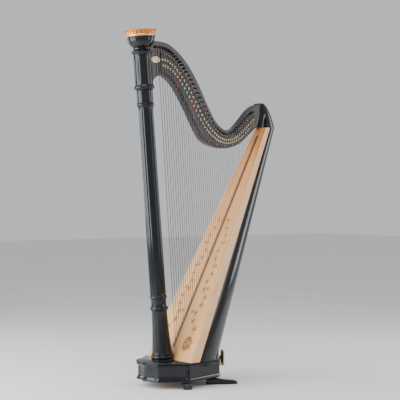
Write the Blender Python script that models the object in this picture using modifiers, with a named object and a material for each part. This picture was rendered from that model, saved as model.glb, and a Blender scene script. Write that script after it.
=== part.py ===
"""Concert harp with 47 strings and seven double-action pedals, in metres, +Z up.

+X runs from the column towards the soundbox and the player, -Y is the string side, and the feet stand
on z = 0. The pieces are modelled with the foot of the column at x = 0, and the last step moves the
whole harp so that the world's origin is at the centre of its footprint.
"""

import math

import bmesh
import bpy
from mathutils import Matrix, Vector

GAP = 0.0003

# Soundboard: a long trapezium that leans towards the player
BOARD_FOOT_X = 0.0395
BOARD_RUN = 0.650
BOARD_RISE = 1.260
BOARD_FOOT_HALF = 0.199
BOARD_HEAD_HALF = 0.0476
BOARD_THICK = 0.009
RIB_HALF = 0.008
RIB_THICK = 0.004
RIB_PAST_BASS = 0.035
RIB_PAST_TREBLE = 0.040
INNER_RIB_HALF = 0.016
INNER_RIB_THICK = 0.008
INNER_RIB_PAST_BASS = 0.080
INNER_RIB_PAST_TREBLE = 0.060

# Soundbox: straight wooden rims beside the board, then a rounded back
RIM_THICK = 0.007
RIM_FOOT_DEPTH = 0.0556
RIM_HEAD_DEPTH = 0.0275
BOX_FOOT_DEPTH = 0.285
BOX_HEAD_DEPTH = 0.091
BOX_WALL = 0.008
BOX_SHADOW = 0.001
BACK_STEPS = 20
HOOP_THICK = 0.012
HOOP_TALL = 0.018
HOOP_GAP = 0.001
HOOPS = {"hoop_lower": 0.19, "hoop_middle": 0.38, "hoop_upper": 0.56}
# Each sound hole: share of the board's rise, half height, half width
SOUND_HOLES = ((0.10, 0.062, 0.045), (0.285, 0.058, 0.039), (0.47, 0.050, 0.033),
               (0.64, 0.043, 0.026), (0.78, 0.035, 0.020))
HOLE_SIDES = 24

# Base: an eight-cornered hollow plinth on four feet, set out from the soundbox that stands on it
BASE_FRONT_X = -0.105
BASE_FRONT_HALF = 0.097
BASE_SIDE_X = BOARD_FOOT_X - 0.0095
BASE_SIDE_HALF = BOARD_FOOT_HALF - 0.001
BASE_BACK_X = BOARD_FOOT_X + BOX_FOOT_DEPTH - 0.0375
BASE_BACK_HALF = BOARD_FOOT_HALF - 0.067
BASE_REAR_X = BOARD_FOOT_X + BOX_FOOT_DEPTH + 0.0305
BASE_REAR_HALF = 0.050
FOOT_TALL = 0.035
BASE_TOP = 0.128
BASE_INSET = 0.008
BASE_WALL = 0.012
MOULD_TALL = 0.012
MOULD_SLOPE = 0.006
BOTTOM_THICK = 0.010
LID_THICK = 0.0099
LID_OVERHANG = 0.004
FRONT_FOOT_X = BASE_SIDE_X + 0.006
FRONT_FOOT_Y = BASE_SIDE_HALF - 0.029
FRONT_FOOT_TOP = 0.033
FRONT_FOOT_TIP = 0.018
REAR_FOOT_ROOT = (BASE_BACK_X - 0.072, BASE_BACK_HALF - 0.032)
REAR_FOOT_TIP = (BASE_BACK_X + 0.051, BASE_BACK_HALF + 0.046)
REAR_FOOT_HALF = 0.026
FOOT_SIDES = 12

# What stands on the base starts here
BOARD_FOOT_Z = BASE_TOP + LID_THICK + 2 * GAP
BOARD_TOP = BOARD_FOOT_Z + BOARD_RISE
BOARD_HEAD_X = BOARD_FOOT_X + BOARD_RUN

# Column: leans away from the player; stations are measured along its own axis
LEAN = math.radians(4.71)
BORE = 0.027
COLUMN_STEPS = 24
SHAFT_START = 0.345
SHAFT_LONG = 0.995
SHAFT_FOOT_RADIUS = 0.0425
SHAFT_HEAD_RADIUS = 0.0400
CAPITAL_LONG = 0.312
CAPITAL_RADIUS = 0.0485
COLLAR_RADIUS = 0.0445
BELL_LONG = 0.060
BELL_RADIUS = 0.0735
RIM_RADIUS = 0.083
# The crown's section: how far in from its radius, height, and share of the wave of its tips
CROWN_SECTION = ((0.0230, 0.0, 0.0), (0.0075, 0.0, 0.0), (0.0045, 0.015, 0.0), (0.0, 0.031, 1.0),
                 (0.0065, 0.033, 0.5), (0.0140, 0.008, 0.0))
CROWN_TIPS = 20
TIP_REACH = 0.003
SHAFT_END = SHAFT_START + SHAFT_LONG
CAPITAL_END = SHAFT_END + CAPITAL_LONG
BELL_END = CAPITAL_END + BELL_LONG
# Each bead: where it stands, how far it stands out, and its height
FOOT_BEADS = ((0.337, 0.0040, 0.014), (0.277, 0.0075, 0.018), (0.0175, 0.0055, 0.018))
CAPITAL_BEADS = ((CAPITAL_END - 0.019, 0.0080, 0.014), (SHAFT_END + 0.105, 0.0065, 0.016),
                 (SHAFT_END + 0.016, 0.0040, 0.012))

# Neck: a harp-shaped plank between the column and the board's head. Its edges are drawn by
# (share of the way from the column to the board, height over the straight line between them).
NECK_FACE_Y = 0.005
NECK_THICK = 0.044
NECK_SET_IN = 0.0187
NECK_TOP = ((0.0000, 0.1330), (0.1126, 0.1659), (0.1801, 0.1803), (0.2464, 0.1743), (0.3252, 0.1470),
            (0.3940, 0.1038), (0.4590, 0.0444), (0.5253, -0.0306), (0.5904, -0.0920), (0.6529, -0.1161),
            (0.7029, -0.1121), (0.7630, -0.0780), (0.8255, -0.0131), (0.8881, 0.0577), (0.9443, 0.1067),
            (1.0006, 0.1387))
NECK_LOW = ((0.0000, -0.1180), (0.0475, -0.0977), (0.0700, -0.0569), (0.1001, -0.0238), (0.1376, -0.0035),
            (0.1876, -0.0034), (0.2464, -0.0257), (0.3089, -0.0749), (0.3727, -0.1376), (0.4303, -0.1993),
            (0.4828, -0.2364), (0.5629, -0.2443), (0.6629, -0.2251), (0.7505, -0.1877), (0.8143, -0.1475),
            (0.8755, -0.0940), (0.9381, -0.0332), (0.9656, -0.0099), (1.0006, 0.0007))
NECK_STEPS = 30
SHOULDER_TALL = 0.141
SHOULDER_RIDGE = 0.030
SHOULDER_LEVELS = 6
SHOULDER_STEPS = 14
DOWEL_DROP = 0.0849
DOWEL_RADIUS = 0.010
DOWEL_IN_COLUMN = 0.006
DOWEL_IN_NECK = 0.122
DOWEL_SIDES = 12
NECK_ROOT_Z = BOARD_FOOT_Z + math.cos(LEAN) * CAPITAL_END - DOWEL_DROP
NECK_ROOT_X = NECK_SET_IN - math.tan(LEAN) * (NECK_ROOT_Z - BOARD_FOOT_Z)
NECK_END_X = BOARD_HEAD_X - 0.0005
NECK_MIDDLE_Y = NECK_FACE_Y + NECK_THICK / 2
NECK_FAR_Y = NECK_FACE_Y + NECK_THICK
PLATE_THICK = 0.003
PLATE_START_X = NECK_ROOT_X + 0.097
PLATE_END_X = NECK_END_X - 0.034
PLATE_TOP = 0.29
PLATE_LOW = 0.92
PLATE_Y = NECK_FACE_Y - GAP - PLATE_THICK
MEDALLION = (NECK_ROOT_X + 0.068, NECK_ROOT_Z + 0.033)
MEDALLION_HALF = (0.026, 0.0195)
MEDALLION_THICK = 0.002
MEDALLION_SIDES = 24

# Strings, counted from the bass; each gap between two is a little narrower than the one before
STRINGS = 47
OCTAVE = 7
FIRST_STRING_X = NECK_ROOT_X + 0.074
LAST_STRING_X = NECK_END_X - 0.05364
NARROWING = 0.0025
FIRST_FOOT_Z = BOARD_FOOT_Z + 0.1015
LAST_FOOT_Z = BOARD_TOP - 0.0835
STRING_TOP_Y = NECK_FACE_Y - 0.013
BASS_RADIUS = 0.0011
TREBLE_RADIUS = 0.0004
STRIP_RADIUS = 0.0018
STRIP_OFFSET = 0.0025
# Rows of the action, as shares of the neck's height down from its top edge
TUNING_ROW = (0.16, 0.22)
BRIDGE_ROW = (0.38, 0.42)
NATURAL_ROW = (0.54, 0.55)
SHARP_ROW = (0.72, 0.72)
TUNING_PIN_RADIUS = 0.0035
TUNING_PIN_NEAR_Y = NECK_FACE_Y - 0.019
TUNING_PIN_FAR_Y = NECK_FAR_Y + 0.017
BRIDGE_PIN_RADIUS = 0.0022
BRIDGE_PIN_NEAR_Y = NECK_FACE_Y - 0.018
DISC_SHARE = 0.40
DISC_FAR_Y = PLATE_Y - 0.0007
DISC_NEAR_Y = DISC_FAR_Y - 0.0035
TIE_RADIUS = 0.0008
PIN_SIDES = 6
STRING_SIDES = 5
STRIP_SIDES = 4
TIE_SWAY = 0.0010

# Pedals, from the player's left to the right
PEDALS = ("d", "c", "b", "e", "f", "g", "a")
MIDDLE_PEDAL = (len(PEDALS) - 1) / 2
SLOT_PITCH = 0.040
LEVER_THICK = 0.004
LEVER_TALL = 0.012
LEVER_Z = BASE_TOP - 0.030
LEVER_START_X = -0.007
LEVER_REACH = 0.020
SLOT_WIDE = LEVER_THICK + 0.006
SLOT_LOW = FOOT_TALL + MOULD_TALL + 0.003
SLOT_HIGH = LEVER_Z + LEVER_TALL / 2 + 0.004
SLOT_IN = 0.030
SLOT_OUT = 0.020
TIP_LONG = 0.070
TIP_WIDE = 0.022
TIP_THICK = 0.008
TIP_BARREL = 0.005
FULCRUM_X = 0.100
FULCRUM_RADIUS = 0.005
FULCRUM_HALF = 0.078
FULCRUM_CLEAR = 0.0005
FULCRUM_Z = LEVER_Z - LEVER_TALL / 2 - FULCRUM_CLEAR - FULCRUM_RADIUS
POST_Y = FULCRUM_HALF - 0.008
POST_WIDE = 0.008
ROD_RADIUS = 0.0025
ROD_PITCH = 2 * ROD_RADIUS + 0.0015
ROD_END = SHAFT_END + 0.160
ROD_CLEAR = 0.0015
ROD_HOLE = ROD_RADIUS + 0.0004
MOUTH_FRONT_X = -0.00625
MOUTH_REAR_X = 0.010
GUIDE_STATIONS = {"rod_guide_lower": SHAFT_START - 0.045, "rod_guide_upper": SHAFT_END - 0.050}
GUIDE_THICK = 0.006
ROD_SIDES = 6
RAIL_SIDES = 8
BARREL_SIDES = 12


# ---------------------------------------------------------------- scene and materials

for old in list(bpy.data.objects):
    bpy.data.objects.remove(old)

parts = bpy.data.collections.new("concert_harp")
cutters = bpy.data.collections.new("cutters")
for collection in (parts, cutters):
    bpy.context.scene.collection.children.link(collection)


def make_empty(name, parent=None, location=(0, 0, 0), rotation=(0, 0, 0)):
    empty = bpy.data.objects.new(name, None)
    parts.objects.link(empty)
    empty.parent = parent
    empty.location = location
    empty.rotation_euler = rotation
    return empty


def make_material(name, color, roughness, metallic=0.0):
    material = bpy.data.materials.new(name)
    material.use_nodes = True
    shader = material.node_tree.nodes["Principled BSDF"]
    shader.inputs["Base Color"].default_value = (*color, 1)
    shader.inputs["Roughness"].default_value = roughness
    shader.inputs["Metallic"].default_value = metallic
    return material


LACQUER = (0.012, 0.014, 0.018)
FINISHES = {
    "lacquer": (LACQUER, 0.12, 0.0),
    "spruce": ((0.62, 0.40, 0.21), 0.45, 0.0),
    "maple": ((0.66, 0.45, 0.25), 0.40, 0.0),
    "black_plate": ((0.030, 0.032, 0.036), 0.30, 0.6),
    "gold": ((0.85, 0.50, 0.22), 0.25, 1.0),
    "brass": ((0.70, 0.52, 0.24), 0.28, 1.0),
    "steel": ((0.60, 0.61, 0.63), 0.25, 1.0),
    "ivory": ((0.85, 0.82, 0.72), 0.35, 0.0),
    "gut": ((0.70, 0.62, 0.48), 0.45, 0.0),
    "inner_wood": ((0.34, 0.22, 0.12), 0.60, 0.0),
    "rubber": ((0.03, 0.03, 0.03), 0.80, 0.0),
}

harp = make_empty("harp_frame")
column = make_empty("column_axis", harp, (0, 0, BOARD_FOOT_Z), (0, -LEAN, 0))


# ---------------------------------------------------------------- building tools

def add_object(name, mesh, finish, parent=harp, collection=parts):
    """An object with its own material, in the harp's frame."""
    made = bpy.data.objects.new(name, mesh)
    collection.objects.link(made)
    made.parent = parent
    if finish:
        mesh.materials.append(make_material(name, *FINISHES[finish]))
        mesh.shade_smooth()
        mesh.set_sharp_from_angle(angle=math.radians(35))
    return made


def from_bmesh(name, shape, finish, parent=harp, collection=parts):
    bmesh.ops.recalc_face_normals(shape, faces=shape.faces)
    mesh = bpy.data.meshes.new(name)
    shape.to_mesh(mesh)
    shape.free()
    return add_object(name, mesh, finish, parent, collection)


def add_cutter(name, shape, parent=harp):
    cutter = from_bmesh(name, shape, None, parent, cutters)
    cutter.hide_render = True
    cutter.display_type = "WIRE"
    return cutter


def combine(piece, other, operation):
    modifier = piece.modifiers.new(other.name, "BOOLEAN")
    modifier.operation = operation
    modifier.object = other
    modifier.solver = "EXACT"


def add_loft(shape, loops):
    """Closes the space between loops that have the same number of points."""
    rings = [[shape.verts.new(point) for point in loop] for loop in loops]
    count = len(rings[0])
    for low, high in zip(rings, rings[1:]):
        for i in range(count):
            j = (i + 1) % count
            shape.faces.new((low[i], low[j], high[j], high[i]))
    shape.faces.new(rings[0])
    shape.faces.new(rings[-1])


def add_ring(shape, loops):
    """A closed ring: the loops stand round it, and the last joins the first."""
    rings = [[shape.verts.new(point) for point in loop] for loop in loops]
    count = len(rings[0])
    for k, ring in enumerate(rings):
        following = rings[(k + 1) % len(rings)]
        for i in range(count):
            j = (i + 1) % count
            shape.faces.new((ring[i], ring[j], following[j], following[i]))


def add_rod(shape, start, end, radius, sides):
    start = Vector(start)
    along = Vector(end) - start
    turn = along.to_track_quat("Z", "Y").to_matrix().to_4x4()
    place = Matrix.Translation(start + along / 2) @ turn
    bmesh.ops.create_cone(shape, cap_ends=True, segments=sides, radius1=radius, radius2=radius,
                          depth=along.length, matrix=place)


def add_box(shape, low, high, turn=0.0, about=(0, 0, 0)):
    """A box between two corners, turned about Z."""
    low = Vector(low)
    high = Vector(high)
    size = high - low
    place = Matrix.Translation(Vector(about)) @ Matrix.Rotation(turn, 4, "Z")
    place = place @ Matrix.Translation((low + high) / 2 - Vector(about))
    bmesh.ops.create_cube(shape, size=1.0, matrix=place @ Matrix.Diagonal((*size, 1)))


def loft(name, loops, finish):
    shape = bmesh.new()
    add_loft(shape, loops)
    return from_bmesh(name, shape, finish)


def turned(name, profile, finish, parent=column, collection=parts, steps=COLUMN_STEPS):
    """A lathe-turned piece; the profile (radius, height) runs down the outside, then up the bore."""
    mesh = bpy.data.meshes.new(name)
    points = [(radius, 0, height) for radius, height in profile]
    edges = [(i, i + 1) for i in range(len(points) - 1)]
    if profile[0][0] > 0:
        edges.append((len(points) - 1, 0))
    mesh.from_pydata(points, edges, [])
    piece = add_object(name, mesh, finish, parent, collection)
    screw = piece.modifiers.new("turn", "SCREW")
    screw.steps = steps
    screw.render_steps = steps
    screw.use_merge_vertices = True
    screw.merge_threshold = 0.00001
    screw.use_smooth_shade = True
    return piece


def flat_plate(name, outline, thick, finish, location, upright=True, parent=harp, collection=parts):
    """A plank from a flat outline; an upright one is drawn in X and Z and is as thick along Y."""
    curve = bpy.data.curves.new(name, "CURVE")
    curve.dimensions = "2D"
    curve.fill_mode = "BOTH"
    curve.extrude = thick / 2
    spline = curve.splines.new("POLY")
    spline.points.add(len(outline) - 1)
    for point, (x, y) in zip(spline.points, outline):
        point.co = (x, y, 0, 1)
    spline.use_cyclic_u = True
    drawn = bpy.data.objects.new(name + "_outline", curve)
    parts.objects.link(drawn)
    bpy.context.view_layer.update()
    mesh = bpy.data.meshes.new_from_object(drawn.evaluated_get(bpy.context.evaluated_depsgraph_get()))
    bpy.data.objects.remove(drawn)
    shape = bmesh.new()
    shape.from_mesh(mesh)
    bmesh.ops.remove_doubles(shape, verts=shape.verts, dist=0.000001)
    if upright:
        bmesh.ops.rotate(shape, verts=shape.verts, matrix=Matrix.Rotation(math.pi / 2, 3, "X"))
    bmesh.ops.translate(shape, verts=shape.verts, vec=location)
    return from_bmesh(name, shape, finish, parent, collection)


def smooth_value(points, x):
    """Height of the smooth curve through the points at x."""
    i = 0
    while i < len(points) - 2 and points[i + 1][0] < x:
        i += 1
    (x0, z0), (x1, z1) = points[i], points[i + 1]

    def slope(k):
        before = points[max(k - 1, 0)]
        after = points[min(k + 1, len(points) - 1)]
        return (after[1] - before[1]) / (after[0] - before[0])

    span = x1 - x0
    t = (x - x0) / span
    start = (1 + 2 * t) * (1 - t) ** 2 * z0 + t * (1 - t) ** 2 * span * slope(i)
    end = t * t * (3 - 2 * t) * z1 + t * t * (t - 1) * span * slope(i + 1)
    return start + end


def between(low, high, share):
    return low + (high - low) * share


def inset_outline(outline, distance):
    """A convex outline that runs anticlockwise, moved inwards by a distance."""
    count = len(outline)
    lines = []
    for i in range(count):
        start = Vector(outline[i])
        along = (Vector(outline[(i + 1) % count]) - start).normalized()
        inward = Vector((-along.y, along.x))
        lines.append((start + inward * distance, along))
    corners = []
    for i in range(count):
        (p, u), (q, v) = lines[i - 1], lines[i]
        reach = (q - p).cross(v) / u.cross(v)
        corners.append(tuple(p + u * reach))
    return corners


def level_loop(outline, z):
    return [(x, y, z) for x, y in outline]


# ---------------------------------------------------------------- soundbox

def board_x(z):
    """X of the soundboard's front face."""
    return BOARD_FOOT_X + BOARD_RUN * (z - BOARD_FOOT_Z) / BOARD_RISE


def along_board(z, foot, head):
    return between(foot, head, (z - BOARD_FOOT_Z) / BOARD_RISE)


def half_width(z):
    return along_board(z, BOARD_FOOT_HALF, BOARD_HEAD_HALF)


def rim_depth(z):
    return along_board(z, RIM_FOOT_DEPTH, RIM_HEAD_DEPTH)


def back_curve(z, inset, steps=BACK_STEPS):
    """The rounded back's outline at a height, from the string side to the other, moved inwards."""
    start = board_x(z) + rim_depth(z) + GAP
    depth = along_board(z, BOX_FOOT_DEPTH, BOX_HEAD_DEPTH) - rim_depth(z) - GAP - inset
    half = half_width(z) - BOX_SHADOW - inset
    turns = [math.pi * (i / steps - 0.5) for i in range(steps + 1)]
    return [(start + depth * math.cos(turn), half * math.sin(turn)) for turn in turns]


def bowed_wall(name, low, high, outer, inner, finish):
    loops = [level_loop(back_curve(z, outer) + back_curve(z, inner)[::-1], z) for z in (low, high)]
    return loft(name, loops, finish)


def board_strip(name, near, far, front, back, low, high, finish):
    """A strip along the board: near(z) and far(z) are its sides, front and back are set from its face."""
    loops = []
    for z in (low, high):
        x = board_x(z)
        face = x + front(z)
        rear = x + back(z)
        loops.append(level_loop(((face, near(z)), (rear, near(z)), (rear, far(z)), (face, far(z))), z))
    return loft(name, loops, finish)


def build_soundbox():
    shell = bowed_wall("soundbox_shell", BOARD_FOOT_Z, BOARD_TOP, 0, BOX_WALL, "lacquer")
    holes = bmesh.new()
    for share, tall, wide in SOUND_HOLES:
        z = BOARD_FOOT_Z + BOARD_RISE * share
        back = board_x(z) + along_board(z, BOX_FOOT_DEPTH, BOX_HEAD_DEPTH)
        place = Matrix.Translation((back, 0, z)) @ Matrix.Diagonal((1, wide, tall, 1))
        place = place @ Matrix.Rotation(math.pi / 2, 4, "Y")
        bmesh.ops.create_cone(holes, cap_ends=True, segments=HOLE_SIDES, radius1=1, radius2=1,
                              depth=2 * (tall + BOX_WALL), matrix=place)
    combine(shell, add_cutter("sound_holes", holes), "DIFFERENCE")

    def board_side(z):
        return half_width(z) - RIM_THICK - GAP

    board_strip("soundboard", lambda z: -board_side(z), board_side, lambda z: 0, lambda z: BOARD_THICK,
                BOARD_FOOT_Z, BOARD_TOP, "spruce")
    for side, sign in (("left", -1), ("right", 1)):
        board_strip("side_rim_" + side, lambda z: sign * half_width(z),
                    lambda z: sign * (half_width(z) - RIM_THICK),
                    lambda z: 0, rim_depth, BOARD_FOOT_Z, BOARD_TOP, "maple")
    board_strip("string_rib", lambda z: -RIB_HALF, lambda z: RIB_HALF, lambda z: -RIB_THICK - GAP,
                lambda z: -GAP, FIRST_FOOT_Z - RIB_PAST_BASS, LAST_FOOT_Z + RIB_PAST_TREBLE, "maple")
    board_strip("inner_rib", lambda z: -INNER_RIB_HALF, lambda z: INNER_RIB_HALF,
                lambda z: BOARD_THICK + GAP, lambda z: BOARD_THICK + GAP + INNER_RIB_THICK,
                FIRST_FOOT_Z - INNER_RIB_PAST_BASS, LAST_FOOT_Z + INNER_RIB_PAST_TREBLE, "inner_wood")
    for name, share in HOOPS.items():
        low = BOARD_FOOT_Z + BOARD_RISE * share
        bowed_wall(name, low, low + HOOP_TALL, BOX_WALL + HOOP_GAP, BOX_WALL + HOOP_GAP + HOOP_THICK, "steel")


# ---------------------------------------------------------------- base and feet

def base_outline():
    left = [(BASE_FRONT_X, -BASE_FRONT_HALF), (BASE_SIDE_X, -BASE_SIDE_HALF),
            (BASE_BACK_X, -BASE_BACK_HALF), (BASE_REAR_X, -BASE_REAR_HALF)]
    return left + [(x, -y) for x, y in left[::-1]]


def pedal_line(i):
    """Where pedal i's rod stands, and where its lever leaves the base, in plan."""
    inner = inset_outline(base_outline(), BASE_INSET)
    rear, back = Vector(inner[4]), Vector(inner[5])
    run = abs(i - MIDDLE_PEDAL) * SLOT_PITCH
    if run <= rear.y:
        leaves = Vector((rear.x, run))
    else:
        leaves = rear + (back - rear).normalized() * (run - rear.y)
    if i < MIDDLE_PEDAL:
        leaves.y = -leaves.y
    return Vector((LEVER_START_X, rod_y(i))), leaves


def rod_y(i):
    return (i - MIDDLE_PEDAL) * ROD_PITCH


def build_base():
    outline = base_outline()
    wall = inset_outline(outline, BASE_INSET)
    hollow = inset_outline(outline, BASE_INSET + BASE_WALL)
    levels = [(FOOT_TALL, outline), (FOOT_TALL + MOULD_TALL, outline),
              (FOOT_TALL + MOULD_TALL + MOULD_SLOPE, wall), (BASE_TOP - MOULD_TALL - MOULD_SLOPE, wall),
              (BASE_TOP - MOULD_TALL, outline), (BASE_TOP, outline)]
    loops = [level_loop(plan, z) for z, plan in levels]
    loops += [level_loop(hollow, BASE_TOP), level_loop(hollow, FOOT_TALL)]
    shape = bmesh.new()
    add_ring(shape, loops)
    body = from_bmesh("base_body", shape, "lacquer")
    slots = bmesh.new()
    for i in range(len(PEDALS)):
        start, leaves = pedal_line(i)
        turn = math.atan2(leaves.y - start.y, leaves.x - start.x)
        low = (leaves.x - SLOT_IN, leaves.y - SLOT_WIDE / 2, SLOT_LOW)
        high = (leaves.x + SLOT_OUT, leaves.y + SLOT_WIDE / 2, SLOT_HIGH)
        add_box(slots, low, high, turn, (*leaves, SLOT_LOW))
    combine(body, add_cutter("pedal_slots", slots), "DIFFERENCE")

    inside = inset_outline(outline, BASE_INSET + BASE_WALL + GAP)
    floor = loft("base_bottom_board", [level_loop(inside, z) for z in (FOOT_TALL, FOOT_TALL + BOTTOM_THICK)],
                 "inner_wood")
    posts = bmesh.new()
    for y in (-POST_Y, POST_Y):
        add_box(posts, (FULCRUM_X - POST_WIDE, y - POST_WIDE / 2, FOOT_TALL + BOTTOM_THICK / 2),
                (FULCRUM_X + POST_WIDE, y + POST_WIDE / 2, FULCRUM_Z + POST_WIDE))
    combine(floor, add_cutter("fulcrum_posts", posts), "UNION")
    seat = bmesh.new()
    add_rod(seat, (FULCRUM_X, -FULCRUM_HALF, FULCRUM_Z), (FULCRUM_X, FULCRUM_HALF, FULCRUM_Z),
            FULCRUM_RADIUS + 2 * GAP, RAIL_SIDES)
    combine(floor, add_cutter("fulcrum_seat", seat), "DIFFERENCE")

    lid = inset_outline(outline, -LID_OVERHANG)
    faces = [level_loop(lid, z) for z in (BASE_TOP + GAP, BOARD_FOOT_Z - GAP)]
    top = loft("base_top_board", faces, "lacquer")
    mouth = bmesh.new()
    half = ROD_PITCH * MIDDLE_PEDAL + 2 * ROD_RADIUS
    add_box(mouth, (MOUTH_FRONT_X, -half, BASE_TOP - BASE_WALL),
            (MOUTH_REAR_X, half, BOARD_FOOT_Z + BASE_WALL))
    combine(top, add_cutter("rod_mouth", mouth), "DIFFERENCE")


def build_feet():
    for side, sign in (("left", -1), ("right", 1)):
        shape = bmesh.new()
        place = Matrix.Translation((FRONT_FOOT_X, sign * FRONT_FOOT_Y, (FOOT_TALL - GAP) / 2))
        bmesh.ops.create_cone(shape, cap_ends=True, segments=FOOT_SIDES, radius1=FRONT_FOOT_TIP,
                              radius2=FRONT_FOOT_TOP, depth=FOOT_TALL - GAP, matrix=place)
        from_bmesh("front_foot_" + side, shape, "lacquer")

        root = Vector(REAR_FOOT_ROOT)
        tip = Vector(REAR_FOOT_TIP)
        heading = math.atan2(tip.y - root.y, tip.x - root.x)
        outline = []
        for end, first in ((root, heading + math.pi / 2), (tip, heading - math.pi / 2)):
            for k in range(FOOT_SIDES // 2 + 1):
                turn = first + 2 * math.pi * k / FOOT_SIDES
                outline.append((end.x + REAR_FOOT_HALF * math.cos(turn),
                                sign * (end.y + REAR_FOOT_HALF * math.sin(turn))))
        flat_plate("rear_foot_" + side, outline, FOOT_TALL - GAP, "lacquer",
                   (0, 0, (FOOT_TALL - GAP) / 2), upright=False)


# ---------------------------------------------------------------- column and crown

def bead(place, neck_radius):
    """A rounded ring on the column, from its top down: (radius, station) points."""
    station, reach, height = place
    turns = [math.pi * k / 3 for k in range(4)]
    return [(neck_radius + reach * math.sin(turn), station + height / 2 * math.cos(turn)) for turn in turns]


def bored(profile):
    """Adds the bore's two corners to a profile that runs down the outside."""
    return profile + [(BORE, profile[-1][1]), (BORE, profile[0][1])]


def capital_profile(extra=0.0):
    top, middle, foot = CAPITAL_BEADS
    profile = [(COLLAR_RADIUS, CAPITAL_END), (COLLAR_RADIUS, CAPITAL_END - 0.007), *bead(top, CAPITAL_RADIUS),
               (CAPITAL_RADIUS, SHAFT_END + 0.120), *bead(middle, CAPITAL_RADIUS),
               *bead(foot, SHAFT_HEAD_RADIUS + 0.0025), (SHAFT_HEAD_RADIUS, SHAFT_END + GAP)]
    return [(radius + extra, station) for radius, station in profile]


def bell_profile(extra=0.0):
    """The bell flares from the capital's collar out to its rim."""
    flare = ((0.0020, BELL_LONG), (0.0, BELL_LONG - 0.008), (0.0010, BELL_LONG - 0.024),
             (0.0060, BELL_LONG - 0.040), (0.0155, BELL_LONG - 0.051), (0.0260, GAP))
    return [(BELL_RADIUS - inward + extra, CAPITAL_END + rise) for inward, rise in flare]


def foot_profile():
    """The column's foot: two beads, a slender drum and a wide ring that stands on the base."""
    top, drum, ring = FOOT_BEADS
    body = SHAFT_FOOT_RADIUS
    return [(body, SHAFT_START - GAP), *bead(top, body), *bead(drum, body), (body - 0.0015, 0.262),
            (body + 0.0030, 0.150), (body + 0.0100, 0.055), (body + 0.0120, 0.030),
            *bead(ring, body + 0.0120), (body + 0.0140, -0.012)]


def build_column():
    base = turned("column_base", bored(foot_profile()), "lacquer")
    under = bmesh.new()
    reach = 2 * RIM_RADIUS
    add_box(under, (-reach, -reach, BASE_TOP - reach), (reach, reach, BOARD_FOOT_Z))
    combine(base, add_cutter("column_seat", under), "DIFFERENCE")
    behind = bmesh.new()
    place = Matrix.Translation((BOARD_FOOT_X - 3 * GAP, 0, BOARD_FOOT_Z))
    place = place @ Matrix.Rotation(math.atan2(BOARD_RUN, BOARD_RISE), 4, "Y")
    place = place @ Matrix.Translation((reach / 2, 0, 0))
    bmesh.ops.create_cube(behind, size=reach, matrix=place)
    combine(base, add_cutter("board_clearance", behind), "DIFFERENCE")

    tapered = [(SHAFT_HEAD_RADIUS, SHAFT_END), (SHAFT_FOOT_RADIUS, SHAFT_START)]
    turned("column_shaft", bored(tapered), "lacquer")
    capital = turned("column_capital", bored(capital_profile()), "lacquer")
    combine(capital, dowel_hole(), "DIFFERENCE")
    turned("crown_bell", [(0, BELL_END), *bell_profile(), (0, CAPITAL_END + GAP)], "lacquer")

    rings = []
    steps = 4 * CROWN_TIPS
    for k in range(steps):
        turn = 2 * math.pi * k / steps
        wave = TIP_REACH * math.cos(CROWN_TIPS * turn)
        low = BELL_END + GAP
        profile = [(RIM_RADIUS - inward + wave * share, low + rise + wave * share)
                   for inward, rise, share in CROWN_SECTION]
        rings.append([(r * math.cos(turn), r * math.sin(turn), s) for r, s in profile])
    shape = bmesh.new()
    add_ring(shape, rings)
    from_bmesh("crown_rim", shape, "gold", column)


# ---------------------------------------------------------------- neck and action

def neck_z(x, share):
    """Height on the neck at x: share 0 is its top edge and 1 is its bottom edge."""
    way = (x - NECK_ROOT_X) / (BOARD_HEAD_X - NECK_ROOT_X)
    over_line = between(smooth_value(NECK_TOP, way), smooth_value(NECK_LOW, way), share)
    return between(NECK_ROOT_Z, BOARD_TOP, way) + over_line


def neck_band(start, end, high, low, steps):
    """The outline of a band of the neck, between two shares of its height."""
    xs = [between(start, end, i / steps) for i in range(steps + 1)]
    return [(x, neck_z(x, high)) for x in xs] + [(x, neck_z(x, low)) for x in xs[::-1]]


def add_dowel(shape, in_column, in_neck, radius):
    """A peg across the joint of the neck and the column, with its ends these far from the neck's root."""
    add_rod(shape, (NECK_ROOT_X - in_column, NECK_MIDDLE_Y, NECK_ROOT_Z),
            (NECK_ROOT_X + in_neck, NECK_MIDDLE_Y, NECK_ROOT_Z), radius, DOWEL_SIDES)


def dowel_hole():
    hole = bmesh.new()
    add_dowel(hole, DOWEL_IN_COLUMN + BORE / 2, DOWEL_IN_NECK + 5 * GAP, DOWEL_RADIUS + 1.5 * GAP)
    return add_cutter("dowel_hole", hole)


def string_share(k):
    """How far string k's top is along the row, from 0 at the bass to 1 at the treble."""
    last = STRINGS - 1
    return (k - NARROWING * k * k) / (last - NARROWING * last * last)


def bridge_x(k):
    return between(FIRST_STRING_X, LAST_STRING_X, string_share(k))


def string_gap(k):
    """The distance between neighbouring strings at string k."""
    last = STRINGS - 1
    return (LAST_STRING_X - FIRST_STRING_X) * (1 - 2 * NARROWING * k) / (last - NARROWING * last * last)


def string_point(k, row):
    """The point where string k passes a row of the action."""
    z = neck_z(bridge_x(k), between(*row, string_share(k)))
    foot = string_foot(k)
    top = Vector((bridge_x(k), STRING_TOP_Y, neck_z(bridge_x(k), between(*BRIDGE_ROW, string_share(k)))))
    return foot + (top - foot) * (z - foot.z) / (top.z - foot.z)


def string_foot(k):
    z = between(FIRST_FOOT_Z, LAST_FOOT_Z, string_share(k))
    return Vector((board_x(z) - GAP - RIB_THICK - STRIP_OFFSET, 0, z))


def string_radius(k):
    return between(BASS_RADIUS, TREBLE_RADIUS, string_share(k))


def tuning_pin_x(spot):
    """X of the six-sided tuning pin whose flat the string lies on."""
    return spot.x - TUNING_PIN_RADIUS * math.cos(math.pi / 6)


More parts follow.
